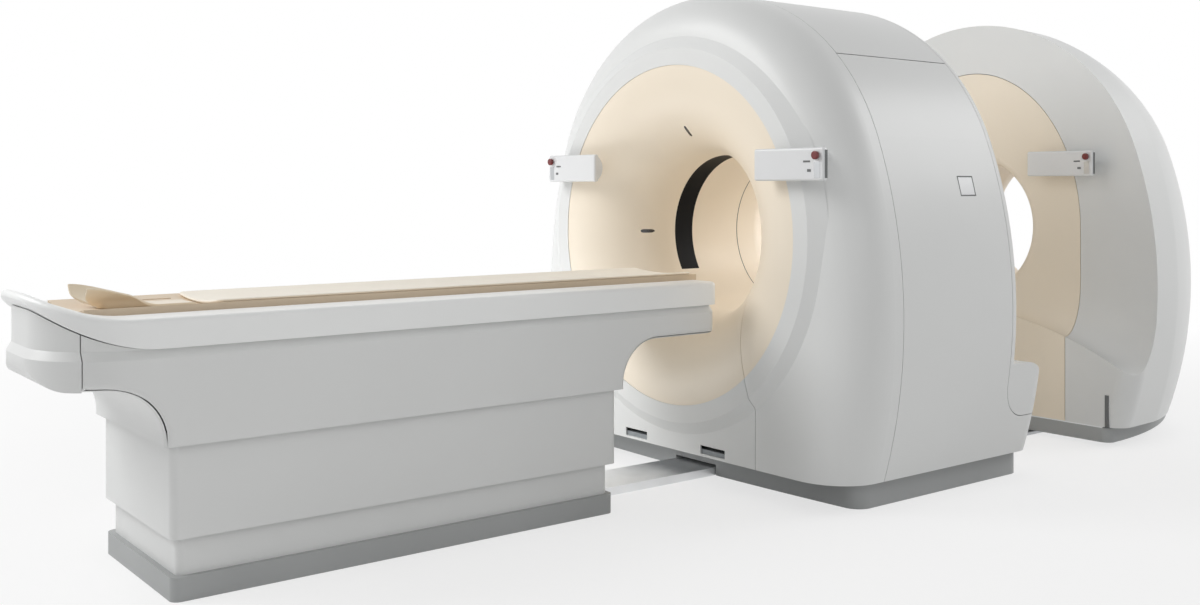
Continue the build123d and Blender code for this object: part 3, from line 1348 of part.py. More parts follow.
def pallet():
    half = PALLET_HALF_WIDTH
    flat = PALLET_FLAT_HALF_WIDTH
    arc, edge_z = pallet_top_arc(half, 0)
    face = make_face([
        arc,
        Line((half, edge_z), (half, PALLET_SIDE_BOTTOM_Z)),
        Line((half, PALLET_SIDE_BOTTOM_Z), (flat, PALLET_BOTTOM_Z)),
        Line((flat, PALLET_BOTTOM_Z), (-flat, PALLET_BOTTOM_Z)),
        Line((-flat, PALLET_BOTTOM_Z), (-half, PALLET_SIDE_BOTTOM_Z)),
        Line((-half, PALLET_SIDE_BOTTOM_Z), (-half, edge_z)),
    ])
    body = prism_y(face, -PALLET_FOOT, -PALLET_HEAD)
    runner_low = TROUGH_FLOOR_Z + PALLET_RAIL_HEIGHT + SEAT_GAP
    slit = PALLET_SLIT_WIDTH / 2
    for side in (1, -1):
        runner = side * RUNNER_OFFSET
        body += block(
            (runner - RUNNER_WIDTH / 2, runner + RUNNER_WIDTH / 2),
            (-PALLET_FOOT, -PALLET_HEAD),
            (runner_low, PALLET_SIDE_BOTTOM_Z),
        )
        middle = side * PALLET_SLIT_OFFSET
        body -= block(
            (middle - slit, middle + slit),
            (-PALLET_SLIT_FOOT, -PALLET_SLIT_HEAD),
            (PALLET_EDGE_Z - PALLET_DISH / 2 - PALLET_SLIT_DEPTH, PALLET_EDGE_Z + OVERRUN),
        )
    return body


def dished_plate(half, wall, foot_y, head_y):
    """Plate of even thickness that lies in the pallet's dish."""
    low_arc, low_z = pallet_top_arc(half, SEAT_GAP)
    high_arc, high_z = pallet_top_arc(half, SEAT_GAP + wall)
    face = make_face([
        low_arc,
        Line((half, low_z), (half, high_z)),
        high_arc,
        Line((-half, low_z), (-half, high_z)),
    ])
    return prism_y(face, foot_y, head_y)


def pallet_pad():
    return dished_plate(PAD_HALF_WIDTH, PAD_WALL, -PAD_FOOT, -PALLET_HEAD - PAD_HEAD_MARGIN)


def head_holder():
    """Open half tube for the head, scalloped at its end, on a block that seats in the pallet."""
    floor_z = PALLET_EDGE_Z - PALLET_DISH
    centre_z = floor_z + HOLDER_BASE_RISE + HOLDER_R
    outer_r = HOLDER_R + HOLDER_WALL
    foot_y = -HOLDER_FOOT
    head_y = foot_y + HOLDER_LENGTH
    reach = outer_r + OVERRUN
    half = reach * math.tan(math.radians(HOLDER_HALF_ANGLE))
    wedge = Polygon((0, 0), (-half, -reach), (half, -reach), align=None)
    shell = prism_y((Circle(outer_r) - Circle(HOLDER_R)) & wedge, foot_y, head_y, centre_z)
    shell -= prism_z(Pos(0, foot_y) * Circle(HOLDER_SCALLOP_R), floor_z, centre_z)
    side = Polygon(
        (foot_y, floor_z),
        (head_y, floor_z),
        (head_y, floor_z + HOLDER_HEAD_RISE),
        (foot_y, floor_z + HOLDER_FOOT_RISE),
        align=None,
    )
    shell &= prism_x(side, -reach, reach)
    base_half = HOLDER_BASE_HALF_WIDTH
    arc, edge_z = pallet_top_arc(base_half, SEAT_GAP)
    base = make_face([
        arc,
        Line((base_half, edge_z), (base_half, centre_z)),
        Line((base_half, centre_z), (-base_half, centre_z)),
        Line((-base_half, centre_z), (-base_half, edge_z)),
    ])
    base = prism_y(base, foot_y + HOLDER_SCALLOP_R, head_y)
    tongue = dished_plate(base_half, HOLDER_TONGUE_WALL, head_y, head_y + HOLDER_TONGUE_LENGTH)
    return shell + (base - prism_y(Circle(HOLDER_R + HOLDER_WALL / 2), foot_y, head_y, centre_z)) + tongue


def floor_link_plate():
    half = LINK_HALF_WIDTH
    return block((-half, half), (-COUCH_PLINTH_HEAD, -LINK_END), (0, LINK_TOP_Z))


def build():
    """All pieces by name."""
    front_cover, lower_panel = ct_front_covers()
    funnel, lower_funnel, windows = ct_front_funnel()
    side_panel, latch, top_cover, rear_cover = ct_outer_covers()
    right_panel, right_button = ct_control_panel(CT_PANEL_INNER_X, CT_PANEL_FOOT_INSET)
    left_panel, left_button = ct_control_panel(CT_LEFT_PANEL_INNER_X, CT_LEFT_PANEL_FOOT_INSET)
    pet_panel, pet_button = pet_control_panel()
    pet_white, pet_cream, pet_rear = pet_covers()
    return {
        "ct_base_frame": ct_base_frame(),
        "ct_plinth": ct_plinth(),
        "ct_front_cover": front_cover,
        "ct_lower_front_panel": lower_panel,
        "ct_front_funnel": funnel,
        "ct_lower_funnel": lower_funnel,
        "ct_top_cover": top_cover,
        "ct_side_panel_right": side_panel,
        "ct_side_panel_left": mirrored(side_panel),
        "ct_rear_cover": rear_cover,
        "ct_rear_funnel": ct_rear_funnel(),
        "xray_window": xray_window(),
        "ct_bore_liner": ct_bore_liner(),
        "ct_stator_bulkhead": ct_stator_bulkhead(),
        "ct_bearing_outer": ct_bearing_outer(),
        "ct_ring_motor": ct_ring_motor(),
        "ct_panel_right": right_panel,
        "ct_panel_left": mirrored(left_panel),
        "laser_windows": windows,
        "floor_link_plate": floor_link_plate(),
        "floor_rails": floor_rails(),
        "rotor_drum": rotor_drum(),
        "xray_tube": xray_tube(),
        "collimator": collimator(),
        "detector_arc": detector_arc(),
        "hv_generators": hv_generators(),
        "slip_ring": slip_ring(),
        "ct_stop_button_right": right_button,
        "ct_stop_button_left": mirrored(left_button),
        "side_latch_right": latch,
        "side_latch_left": mirrored(latch),
        "couch_plinth": couch_plinth(),
        "couch_lower_cover": couch_lower_cover(),
        "lift_column_outer": lift_column_outer(),
        "couch_middle_cover": couch_middle_cover(),
        "lift_column_middle": lift_column_middle(),
        "lift_column_inner": lift_column_inner(),
        "couch_top_frame": couch_top_frame(),
        "couch_upper_shell": couch_upper_shell(),
        "couch_rim": couch_rim(),
        "couch_end_cap": couch_end_cap(),
        "couch_nose": couch_nose(),
        "pallet_rails": pallet_rails(),
        "pallet": pallet(),
        "pallet_pad": pallet_pad(),
        "head_holder": head_holder(),
        "pet_base_frame": pet_base_frame(),
        "pet_plinth": pet_plinth(),
        "pet_front_cover": pet_white,
        "pet_cream_arch": pet_cream,
        "pet_rear_cover": pet_rear,
        "pet_rear_funnel": pet_rear_funnel(),
        "pet_bore_tube": pet_bore_tube(),
        "pet_detector_ring": pet_detector_ring(),
        "pet_bumpers": pet_bumpers(),
        "pet_panels": pet_panel + mirrored(pet_panel),
        "pet_stop_button_right": pet_button,
        "pet_stop_button_left": mirrored(pet_button),
        "pet_front_wheelset": wheelset(FRONT_AXLE_REACH),
        "pet_rear_wheelset": wheelset(REAR_AXLE_REACH),
    }


os.makedirs("parts", exist_ok=True)
for node, shape in build().items():
    export_step(shape, os.path.join("parts", node + ".step"))
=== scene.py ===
"""Looks of a PET-CT scanner: materials, soft pad, head cradle, trim, light and camera."""

import json
import math

import bmesh
import bpy
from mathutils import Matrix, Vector
from mathutils.bvhtree import BVHTree


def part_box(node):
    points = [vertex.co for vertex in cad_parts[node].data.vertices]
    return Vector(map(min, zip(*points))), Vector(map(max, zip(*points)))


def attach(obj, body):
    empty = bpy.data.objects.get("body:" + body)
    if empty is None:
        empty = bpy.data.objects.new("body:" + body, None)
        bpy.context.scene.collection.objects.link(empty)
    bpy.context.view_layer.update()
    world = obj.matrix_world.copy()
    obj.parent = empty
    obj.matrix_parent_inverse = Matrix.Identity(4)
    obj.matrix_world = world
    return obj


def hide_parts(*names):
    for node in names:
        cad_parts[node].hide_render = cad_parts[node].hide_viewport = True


# Photograph and camera, in metres and degrees
PHOTO_WIDTH = 1200
PHOTO_HEIGHT = 605
CAMERA_PLACE = (4.057, -3.932, 1.257)
CAMERA_TURN = 52.13
CAMERA_TILT = 90  # level
FOCAL_PX = 1236.7
HORIZON_PX = 185.7
SENSOR_WIDTH = 36.0

# Curve from screen values to scene-linear ones
SCREEN_TOP = 255
CURVE_KNEE = 0.04045
CURVE_SLOPE = 12.92
CURVE_OFFSET = 0.055
CURVE_POWER = 2.4

# Colours as they show on a screen, 0 to 255
WHITE = (226, 227, 226)
RIM_PAINTED_LIGHT_WHITE = (246, 247, 246)
# Lighter copy of WHITE for the couch rim: painted highlight where its face tilts up to the light
CREAM = (244, 232, 213)
PLINTH_GREY = (170, 172, 172)
MACHINE_GREY = (140, 145, 148)
STEEL = (190, 192, 194)
ALUMINIUM = (238, 239, 240)
WINDOW_BLACK = (10, 10, 11)
LASER_DARK = (38, 34, 34)
PANEL_WHITE = (228, 229, 230)
STOP_RED = (112, 24, 26)
PALLET_TAN = (224, 205, 180)
PAD_CREAM = (254, 246, 232)
HOLDER_CREAM = (238, 224, 200)
RUBBER_GREY = (112, 114, 114)
DETECTOR_GREY = (82, 86, 92)

# Lights: place, target, width and power, in metres and watts
LIGHTS = {
    "key": ((-4.0, -6.5, 5.5), (0, -0.5, 0.9), 5.0, 350),
    "fill": ((6.5, -3.5, 3.0), (0, -0.5, 0.8), 5.0, 50),
    "rear": ((4.0, 6.0, 5.0), (0.5, 1.5, 0.9), 4.0, 150),
    "bore": ((0, 1.15, 1.15), (0, -0.4, 1.0), 0.5, 3),
    "low": ((-1.7, -1.7, 0.5), (0.1, -0.35, 0.4), 0.8, 7),
}
SKY_STRENGTH = 0.36

# Floor, in metres
FLOOR_SIZE = 80
FLOOR_DROP = 0.0005
FLOOR_FADE_START = 2.0
FLOOR_FADE_END = 7.0
FLOOR_GLOW_NEAR_SHARE = 0.68
FLOOR_TONE = 0.9

# Surface tone and grain: noise scales in turns per metre, depths in metres
TONE_LOW_SHARE = 0.3
TONE_HIGH_SHARE = 0.7
GRAIN_DETAIL = 3.0
COAT_ROUGHNESS = 0.25
COVER_TONE_SCALE = 1.7
COVER_GRAIN_SCALE = 420
COVER_GRAIN_STRENGTH = 0.05
COVER_GRAIN = 0.0006
METAL_TONE_SCALE = 6
METAL_TONE_SPREAD = 0.05
METAL_GRAIN_SCALE = 300
METAL_GRAIN_STRENGTH = 0.12
METAL_GRAIN = 0.0005
FABRIC_ROUGHNESS = 0.62
FABRIC_SHEEN = 0.15
FABRIC_TONE_SCALE = 9
FABRIC_TONE_SPREAD = 0.02
FABRIC_GRAIN_SCALE = 700
FABRIC_GRAIN_STRENGTH = 0.2
FABRIC_GRAIN = 0.0008

# Pallet dish and soft pad, in metres
DISH_HALF_WIDTH = 0.205
DISH_DEPTH = 0.018
DISH_R = (DISH_HALF_WIDTH ** 2 + DISH_DEPTH ** 2) / (2 * DISH_DEPTH)
PAD_EDGE_ROUND = 0.016
PAD_CORNER = 0.030
PAD_CROWN_SHARE = 0.22  # part of the pad's thickness lost towards its sides
PAD_EDGE_STEPS = 7
PAD_MIDDLE_STEPS = 26
PAD_MERGE = 1e-6

# Head holder, in metres and degrees
HOLDER_R = 0.118
HOLDER_WALL = 0.008
HOLDER_RISE = 0.014
HOLDER_FOOT_ANGLE = 62
HOLDER_HEAD_ANGLE = 34
HOLDER_TUBE_LENGTH = 0.240
HOLDER_SCALLOP = 0.060
HOLDER_SCALLOP_SHARE = 0.78  # part of the cradle's width that the scallop takes
HOLDER_TONGUE_HALF_WIDTH = 0.062
HOLDER_BASE_EDGE = 0.012
HOLDER_BLEND = 0.110
HOLDER_STEPS_ACROSS = 36
HOLDER_STEPS_ALONG = 48

# Trim of the control panels, in metres
BUTTON_EDGE = 0.030
BUTTON_ROOM = 0.024
TRIM_DEPTH = 0.0012
TRIM_BITE = 0.0006
TRIM_BEVEL = 0.0005
TRIM_BEVEL_STEPS = 2
STRIP_WIDTH = 0.030
EDGE_MARGIN = 0.010
KEY_SIZES = ((0.034, 0.007), (0.018, 0.010))
KEY_PLACES = ((0.082, 0.010), (0.070, -0.024))
# Width of the dark sheet on each panel's outer side face: painted shade on the plate's side edge
SHADED_SIDE_WIDTH = 0.014

# Dark frame round the side latches, in metres
LATCH_FRAME_WIDTH = 0.005
LATCH_FRAME_PROUD = 0.0006

# Skirts in the bore mouths where a foot sweeps out past its wall, and the seam in the bore, in metres
PET_MOUTH_R = 0.395
CT_REAR_MOUTH_R = 0.560
SKIRT_WALL = 0.002
SKIRT_GRIP = 0.002
SKIRT_LEAST = 0.001
SKIRT_SEARCH = 0.6
SKIRT_STEPS = 120
BORE_R = 0.350
SEAM_WIDTH = 0.004
SEAM_PROUD = 0.0005
SEAM_STEPS = 128

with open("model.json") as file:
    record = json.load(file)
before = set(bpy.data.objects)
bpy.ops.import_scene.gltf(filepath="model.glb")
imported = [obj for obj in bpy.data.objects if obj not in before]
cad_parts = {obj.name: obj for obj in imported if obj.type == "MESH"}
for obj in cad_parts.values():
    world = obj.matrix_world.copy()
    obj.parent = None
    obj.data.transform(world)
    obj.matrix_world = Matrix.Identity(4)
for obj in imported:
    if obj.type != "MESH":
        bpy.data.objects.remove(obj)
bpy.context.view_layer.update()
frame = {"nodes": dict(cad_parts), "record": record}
scene = bpy.context.scene
scene.view_settings.view_transform = "Standard"


# Materials

def linear(colour):
    """Screen colour to scene-linear values."""
    values = []
    for part in colour:
        share = part / SCREEN_TOP
        curved = ((share + CURVE_OFFSET) / (1 + CURVE_OFFSET)) ** CURVE_POWER
        values.append(share / CURVE_SLOPE if share <= CURVE_KNEE else curved)
    return values


def new_material(name):
    material = bpy.data.materials.new(name)
    material.use_nodes = True
    return material, material.node_tree, material.node_tree.nodes["Principled BSDF"]


def add_noise(tree, scale, detail=2.0, stretch=(1, 1, 1)):
    """Noise in the object's own space, so that it stays on the surface at every pose."""
    place = tree.nodes.new("ShaderNodeTexCoord")
    mapping = tree.nodes.new("ShaderNodeMapping")
    mapping.inputs["Scale"].default_value = stretch
    noise = tree.nodes.new("ShaderNodeTexNoise")
    noise.inputs["Scale"].default_value = scale
    noise.inputs["Detail"].default_value = detail
    tree.links.new(place.outputs["Object"], mapping.inputs["Vector"])
    tree.links.new(mapping.outputs["Vector"], noise.inputs["Vector"])
    return noise


def add_tone(tree, shader, colour, spread, scale):
    """Slow, faint change of tone over the surface."""
    ramp = tree.nodes.new("ShaderNodeValToRGB")
    low, high = ramp.color_ramp.elements
    low.position = TONE_LOW_SHARE
    high.position = TONE_HIGH_SHARE
    low.color = [part * (1 - spread) for part in linear(colour)] + [1]
    high.color = [min(part * (1 + spread), 1) for part in linear(colour)] + [1]
    tree.links.new(add_noise(tree, scale).outputs["Fac"], ramp.inputs["Fac"])
    tree.links.new(ramp.outputs["Color"], shader.inputs["Base Color"])


def add_grain(tree, shader, scale, strength, depth, stretch=(1, 1, 1)):
    """Fine relief."""
    bump = tree.nodes.new("ShaderNodeBump")
    bump.inputs["Strength"].default_value = strength
    bump.inputs["Distance"].default_value = depth
    noise = add_noise(tree, scale, GRAIN_DETAIL, stretch)
    tree.links.new(noise.outputs["Fac"], bump.inputs["Height"])
    tree.links.new(bump.outputs["Normal"], shader.inputs["Normal"])


def moulded(name, colour, roughness, spread=0.012, coat=0.0, gloss=0.5):
    """Painted or moulded cover with a faint orange-peel grain."""
    material, tree, shader = new_material(name)
    shader.inputs["Roughness"].default_value = roughness
    shader.inputs["Specular IOR Level"].default_value = gloss
    shader.inputs["Coat Weight"].default_value = coat
    shader.inputs["Coat Roughness"].default_value = COAT_ROUGHNESS
    add_tone(tree, shader, colour, spread, COVER_TONE_SCALE)
    add_grain(tree, shader, COVER_GRAIN_SCALE, COVER_GRAIN_STRENGTH, COVER_GRAIN)
    return material


def metal(name, colour, roughness, stretch):
    """Bare metal, brushed along one way."""
    material, tree, shader = new_material(name)
    shader.inputs["Metallic"].default_value = 1.0
    shader.inputs["Roughness"].default_value = roughness
    add_tone(tree, shader, colour, METAL_TONE_SPREAD, METAL_TONE_SCALE)
    add_grain(tree, shader, METAL_GRAIN_SCALE, METAL_GRAIN_STRENGTH, METAL_GRAIN, stretch)
    return material


def fabric(name, colour):
    """Soft coated upholstery with a fine leather-like grain."""
    material, tree, shader = new_material(name)
    shader.inputs["Roughness"].default_value = FABRIC_ROUGHNESS
    shader.inputs["Sheen Weight"].default_value = FABRIC_SHEEN
    add_tone(tree, shader, colour, FABRIC_TONE_SPREAD, FABRIC_TONE_SCALE)
    add_grain(tree, shader, FABRIC_GRAIN_SCALE, FABRIC_GRAIN_STRENGTH, FABRIC_GRAIN)
    return material


MATERIALS = {
    "white_cover": moulded("white_cover", WHITE, roughness=0.42, coat=0.12),
    # Lighter copy of the white cover: painted highlight on the couch rim
    "rim_painted_highlight": moulded("rim_painted_highlight", RIM_PAINTED_LIGHT_WHITE, roughness=0.4, coat=0.12),
    "cream_cover": moulded("cream_cover", CREAM, roughness=0.45, coat=0.08),
    "grey_plinth": moulded("grey_plinth", PLINTH_GREY, roughness=0.5, spread=0.03),
    "steel": moulded("steel", MACHINE_GREY, roughness=0.5, spread=0.03),
    "bright_steel": metal("bright_steel", STEEL, roughness=0.32, stretch=(1, 12, 1)),
    "aluminium": metal("aluminium", ALUMINIUM, roughness=0.42, stretch=(12, 1, 1)),
    "dark_window": moulded("dark_window", WINDOW_BLACK, roughness=0.5, spread=0.1, gloss=0.12),
    "laser_glass": moulded("laser_glass", LASER_DARK, roughness=0.15, spread=0.1, coat=0.5),
    "panel_grey": moulded("panel_grey", PANEL_WHITE, roughness=0.3, spread=0.01, coat=0.3),
    "red_button": moulded("red_button", STOP_RED, roughness=0.3, spread=0.05, coat=0.3),
    "pallet_shell": moulded("pallet_shell", PALLET_TAN, roughness=0.45, spread=0.02),
    "pad_cover": fabric("pad_cover", PAD_CREAM),
    "holder_shell": moulded("holder_shell", HOLDER_CREAM, roughness=0.35, spread=0.02, coat=0.2),
    "rubber": moulded("rubber", RUBBER_GREY, roughness=0.75, spread=0.04),
    "detector": moulded("detector", DETECTOR_GREY, roughness=0.6, spread=0.05),
}

# Nodes that look a little different from the rest of their slot
# Nodes given a lighter copy of their slot's material: the couch rim's lighter white is a painted
# highlight for its face tilted up to the light
PAINTED_LIGHT_LOOKS = {"couch_rim": "rim_painted_highlight"}


def dress_frame():
    """Give every CAD node the look of its slot, or a lighter copy of it that paints a highlight."""
    slots = {entry["node"]: entry["material_slot"] for entry in frame["record"]["subparts"]}
    for name, node in frame["nodes"].items():
        node.data.materials.clear()
        node.data.materials.append(MATERIALS[PAINTED_LIGHT_LOOKS.get(name, slots[name])])


# Soft pad

def dish_rise(x):
    """Height of the pallet's dished top above its middle line."""
    return DISH_R - math.sqrt(DISH_R ** 2 - x ** 2)


def pad_places(half):
    """Places from -half to half, close together near the ends where the pad rounds over."""
    ends = [half - PAD_EDGE_ROUND * (1 - math.cos(math.pi / 2 * step / PAD_EDGE_STEPS))
            for step in range(PAD_EDGE_STEPS)]
    inner = half - PAD_EDGE_ROUND
    middle = [inner * (1 - 2 * step / PAD_MIDDLE_STEPS) for step in range(PAD_MIDDLE_STEPS + 1)]
    return ends + middle + [-place for place in reversed(ends)]


def pad_point(across, along, half, half_length, low_z, depth, side):
    """Point of the pad's upper (side 1) or lower (side -1) skin; both meet in the seam at mid-depth."""
    to_end = half_length - abs(along)
    corner = max(PAD_CORNER - to_end, 0)
    narrow = PAD_CORNER - math.sqrt(max(PAD_CORNER ** 2 - corner ** 2, 0))
    x = across * (half - narrow) / half
    inside = max(min(half - abs(across), to_end), 0)
    bulge = math.sqrt(max(1 - (1 - min(inside / PAD_EDGE_ROUND, 1)) ** 2, 0))
    floor_z = low_z + dish_rise(x)
    crown = 1 - PAD_CROWN_SHARE * (x / half) ** 2
    return x, along, floor_z + depth / 2 * (1 + side * bulge * (crown if side > 0 else 1))


def make_pad():
    """Crowned soft pad in place of the plain CAD slab."""
    low, high = (Vector(corner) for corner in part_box("pallet_pad"))
    half = (high.x - low.x) / 2
    half_length = (high.y - low.y) / 2
    middle_y = (high.y + low.y) / 2
    depth = high.z - low.z - dish_rise(half)
    shape = bmesh.new()
    for side in (1, -1):
        rows = []
        for along in pad_places(half_length):
            row = []
            for across in pad_places(half):
                x, y, z = pad_point(across, along, half, half_length, low.z, depth, side)
                row.append(shape.verts.new((x, y + middle_y, z)))
            rows.append(row)
        for row, following in zip(rows, rows[1:]):
            for index in range(len(row) - 1):
                corners = [row[index], row[index + 1], following[index + 1], following[index]]
                shape.faces.new(corners if side > 0 else corners[::-1])
    bmesh.ops.remove_doubles(shape, verts=shape.verts, dist=PAD_MERGE)
    pad = finish_piece(shape, "pallet_soft_pad", "pad_cover", "pallet_body")
    pad.data.shade_smooth()
    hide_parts("pallet_pad")


# Head holder

def eased(value, start, end):
    """0 before start, 1 after end, smooth between."""
    share = max(min((value - start) / (end - start), 1), 0)
    return share * share * (3 - 2 * share)


def holder_point(across, along, low, high, upper):
    """Point of the cradle's upper or lower skin; across is -1 to 1, along runs from foot to tongue."""
    notch = min(abs(across) / HOLDER_SCALLOP_SHARE, 1)
    start_y = low.y + HOLDER_SCALLOP * math.cos(notch * math.pi / 2) ** 2
    y = start_y + along * (high.y - start_y)
    head_y = low.y + HOLDER_TUBE_LENGTH
    fall = eased(y, low.y, head_y)
    angle = across * math.radians(HOLDER_FOOT_ANGLE + (HOLDER_HEAD_ANGLE - HOLDER_FOOT_ANGLE) * fall)
    radius = HOLDER_R if upper else HOLDER_R + HOLDER_WALL
    flat = eased(y, head_y - HOLDER_BLEND, head_y)
    tube_x = radius * math.sin(angle)
    x = tube_x + (HOLDER_TONGUE_HALF_WIDTH * across - tube_x) * flat
    seat_z = low.z + dish_rise(x)
    tube_z = low.z + HOLDER_RISE + HOLDER_R - radius * math.cos(angle)
    plate_z = seat_z + (HOLDER_WALL if upper else 0)
    z = tube_z + (plate_z - tube_z) * flat
    if not upper:
        edge = HOLDER_TONGUE_HALF_WIDTH
        base_y = low.y + HOLDER_SCALLOP
        seated = eased(y, base_y - HOLDER_BASE_EDGE, base_y + HOLDER_BASE_EDGE)
        seated *= 1 - eased(abs(x), edge - HOLDER_BASE_EDGE, edge + HOLDER_BASE_EDGE)
        z += (seat_z - z) * seated
    return x, y, z


def make_holder():
    """Moulded cradle with a scalloped end, running out into a tongue on the pallet."""
    low, high = (Vector(corner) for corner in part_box("head_holder"))
    shares = [2 * step / HOLDER_STEPS_ACROSS - 1 for step in range(HOLDER_STEPS_ACROSS + 1)]
    shape = bmesh.new()
    borders = []
    for upper in (True, False):
        rows = []
        for step in range(HOLDER_STEPS_ALONG + 1):
            along = step / HOLDER_STEPS_ALONG
            points = [holder_point(share, along, low, high, upper) for share in shares]
            rows.append([shape.verts.new(point) for point in points])
        for row, following in zip(rows, rows[1:]):
            for index in range(HOLDER_STEPS_ACROSS):
                shape.faces.new((row[index], row[index + 1], following[index + 1], following[index]))
        right_side = [row[-1] for row in rows[1:]]
        left_side = [row[0] for row in rows[-2:0:-1]]
        borders.append(rows[0] + right_side + rows[-1][-2::-1] + left_side)
    over, under = borders
    for index in range(len(over)):
        after = (index + 1) % len(over)
        shape.faces.new((over[index], over[after], under[after], under[index]))
    holder = finish_piece(shape, "head_cradle", "holder_shell", "pallet_body")
    holder.modifiers.new("smooth", "SUBSURF").levels = 1
    holder.data.shade_smooth()
    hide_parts("head_holder")


# Trim of the control panels and latches

def finish_piece(shape, name, look, body):
    """Turn a finished bmesh into an object with a material that rides on a body."""
    bmesh.ops.recalc_face_normals(shape, faces=shape.faces)
    mesh = bpy.data.meshes.new(name)
    shape.to_mesh(mesh)
    shape.free()
    piece = bpy.data.objects.new(name, mesh)
    scene.collection.objects.link(piece)
    piece.data.materials.append(MATERIALS[look])
    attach(piece, body)
    return piece


def slab(name, low, high, look, body):
    """Small plate between two corners, with softened edges."""
    shape = bmesh.new()
    bmesh.ops.create_cube(shape, size=1)
    low, high = Vector(low), Vector(high)
    size = high - low
    for vert in shape.verts:
        vert.co = (low + high) / 2 + Vector((vert.co.x * size.x, vert.co.y * size.y, vert.co.z * size.z))
    piece = finish_piece(shape, name, look, body)
    bevel = piece.modifiers.new("edges", "BEVEL")
    bevel.width = TRIM_BEVEL
    bevel.segments = TRIM_BEVEL_STEPS


def panel_trim(name, outer_x, side, front_y, low_z, high_z, body):
    """Bright strip under the stop button, two dark keys, and a dark sheet on the outer side face that is
    painted shade; side is 1 or -1.
    """
    front, rear = front_y - TRIM_DEPTH, front_y + TRIM_BITE

    def across(first, last):
        ends = sorted((outer_x - side * first, outer_x - side * last))
        return ends[0], ends[1]

    def face_plate(label, first, last, bottom, top, look):
        left, right = across(first, last)
        slab(name + label, (left, front, bottom), (right, rear, top), look, body)

    button_z = high_z - BUTTON_EDGE
    half_strip = STRIP_WIDTH / 2
    face_plate("_strip", BUTTON_EDGE - half_strip, BUTTON_EDGE + half_strip,
               low_z + EDGE_MARGIN, button_z - BUTTON_ROOM, "bright_steel")
    middle_z = (low_z + high_z) / 2
    for number, ((wide, tall), (inward, up)) in enumerate(zip(KEY_SIZES, KEY_PLACES)):
        face_plate(f"_key_{number}", inward - wide / 2, inward + wide / 2,
                   middle_z + up - tall / 2, middle_z + up + tall / 2, "rubber")
    # Dark sheet on the panel's outer side face: painted shade where the plate's side edge falls in
    # shadow
    shade_low, shade_high = across(-TRIM_BITE, TRIM_BITE)
    slab(name + "_painted_shade_edge", (shade_low, front_y + EDGE_MARGIN - TRIM_DEPTH, low_z + EDGE_MARGIN),
         (shade_high, front_y + EDGE_MARGIN + SHADED_SIDE_WIDTH, high_z - EDGE_MARGIN), "rubber", body)


def trim_panels():
    for node, side in (("ct_panel_right", 1), ("ct_panel_left", -1)):
        low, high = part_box(node)
        panel_trim(node, high.x if side > 0 else low.x, side, low.y, low.z, high.z, "base")
    low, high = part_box("pet_panels")
    for label, side in (("pet_panel_right", 1), ("pet_panel_left", -1)):
        panel_trim(label, side * high.x, side, low.y, low.z, high.z, "pet_gantry")


def latch_frame(node, side):
    """Thin dark border round a flush latch, along the panel's leaning face."""
    low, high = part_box(node)
    points = [vert.co for vert in frame["nodes"][node].data.vertices]

    def face_x(level_z):
        near = [side * point.x for point in points if abs(point.z - level_z) < LATCH_FRAME_WIDTH]
        return max(near)

    x_low, x_high = face_x(low.z), face_x(high.z)
    slope = (x_high - x_low) / (high.z - low.z)
    shape = bmesh.new()
    rings = []
    for grow in (LATCH_FRAME_WIDTH, 0):
        for lift in (LATCH_FRAME_PROUD, -LATCH_FRAME_PROUD):
            corners = ((low.y - grow, low.z - grow), (high.y + grow, low.z - grow),
                       (high.y + grow, high.z + grow), (low.y - grow, high.z + grow))
            ring = []
            for y, z in corners:
                x = x_low + slope * (z - low.z) + lift
                ring.append(shape.verts.new((side * x, y, z)))
            rings.append(ring)
    outer_top, outer_low, inner_top, inner_low = rings
    around = [outer_top, inner_top, inner_low, outer_low, outer_top]
    for first, second in zip(around, around[1:]):
        for index in range(len(first)):
            after = (index + 1) % len(first)
            shape.faces.new((first[index], first[after], second[after], second[index]))
    finish_piece(shape, node + "_frame", "rubber", "base")


# Bore mouths and seam

def bore_axis_z():
    low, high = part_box("ct_bore_liner")
    return (low.z + high.z) / 2


def band(name, sections, closed, look, body):
    """Solid strip through a row of four-cornered sections, joined end to end or capped."""
    shape = bmesh.new()
    rings = [[shape.verts.new(corner) for corner in section] for section in sections]
    pairs = list(zip(rings, rings[1:] + rings[:1]))
    for first, second in pairs if closed else pairs[:-1]:
        for index in range(len(first)):
            after = (index + 1) % len(first)
            shape.faces.new((first[index], first[after], second[after], second[index]))
    if not closed:
        shape.faces.new(rings[0])
        shape.faces.new(rings[-1])
    finish_piece(shape, name, look, body)


def mouth_skirt(name, cover, mouth_r, inner_y, outward, body):
    """Curved lip from a bore mouth out to the cover, where the foot's sweep stands past its wall."""
    mesh = frame["nodes"][cover].data
    skin = BVHTree.FromPolygons([vert.co for vert in mesh.vertices],
                                [list(face.vertices) for face in mesh.polygons])
    axis_z = bore_axis_z()

    def around(radius, angle, y):
        return Vector((radius * math.cos(angle), y, axis_z + radius * math.sin(angle)))

    def cover_y(angle):
        start = around(mouth_r + SKIRT_GRIP, angle, inner_y + outward * SKIRT_SEARCH)
        return skin.ray_cast(start, Vector((0, -outward, 0)))[0].y

    wall_y = cover_y(math.pi / 2)
    sections = []
    for step in range(SKIRT_STEPS + 1):
        angle = -math.pi * step / SKIRT_STEPS
        edge_y = cover_y(angle)
        if outward * (edge_y - wall_y) > SKIRT_LEAST:
            inner, outer = mouth_r - SKIRT_WALL, mouth_r
            sections.append([around(inner, angle, inner_y), around(inner, angle, edge_y),
                             around(outer, angle, edge_y), around(outer, angle, inner_y)])
    band(name, sections, False, "cream_cover", body)


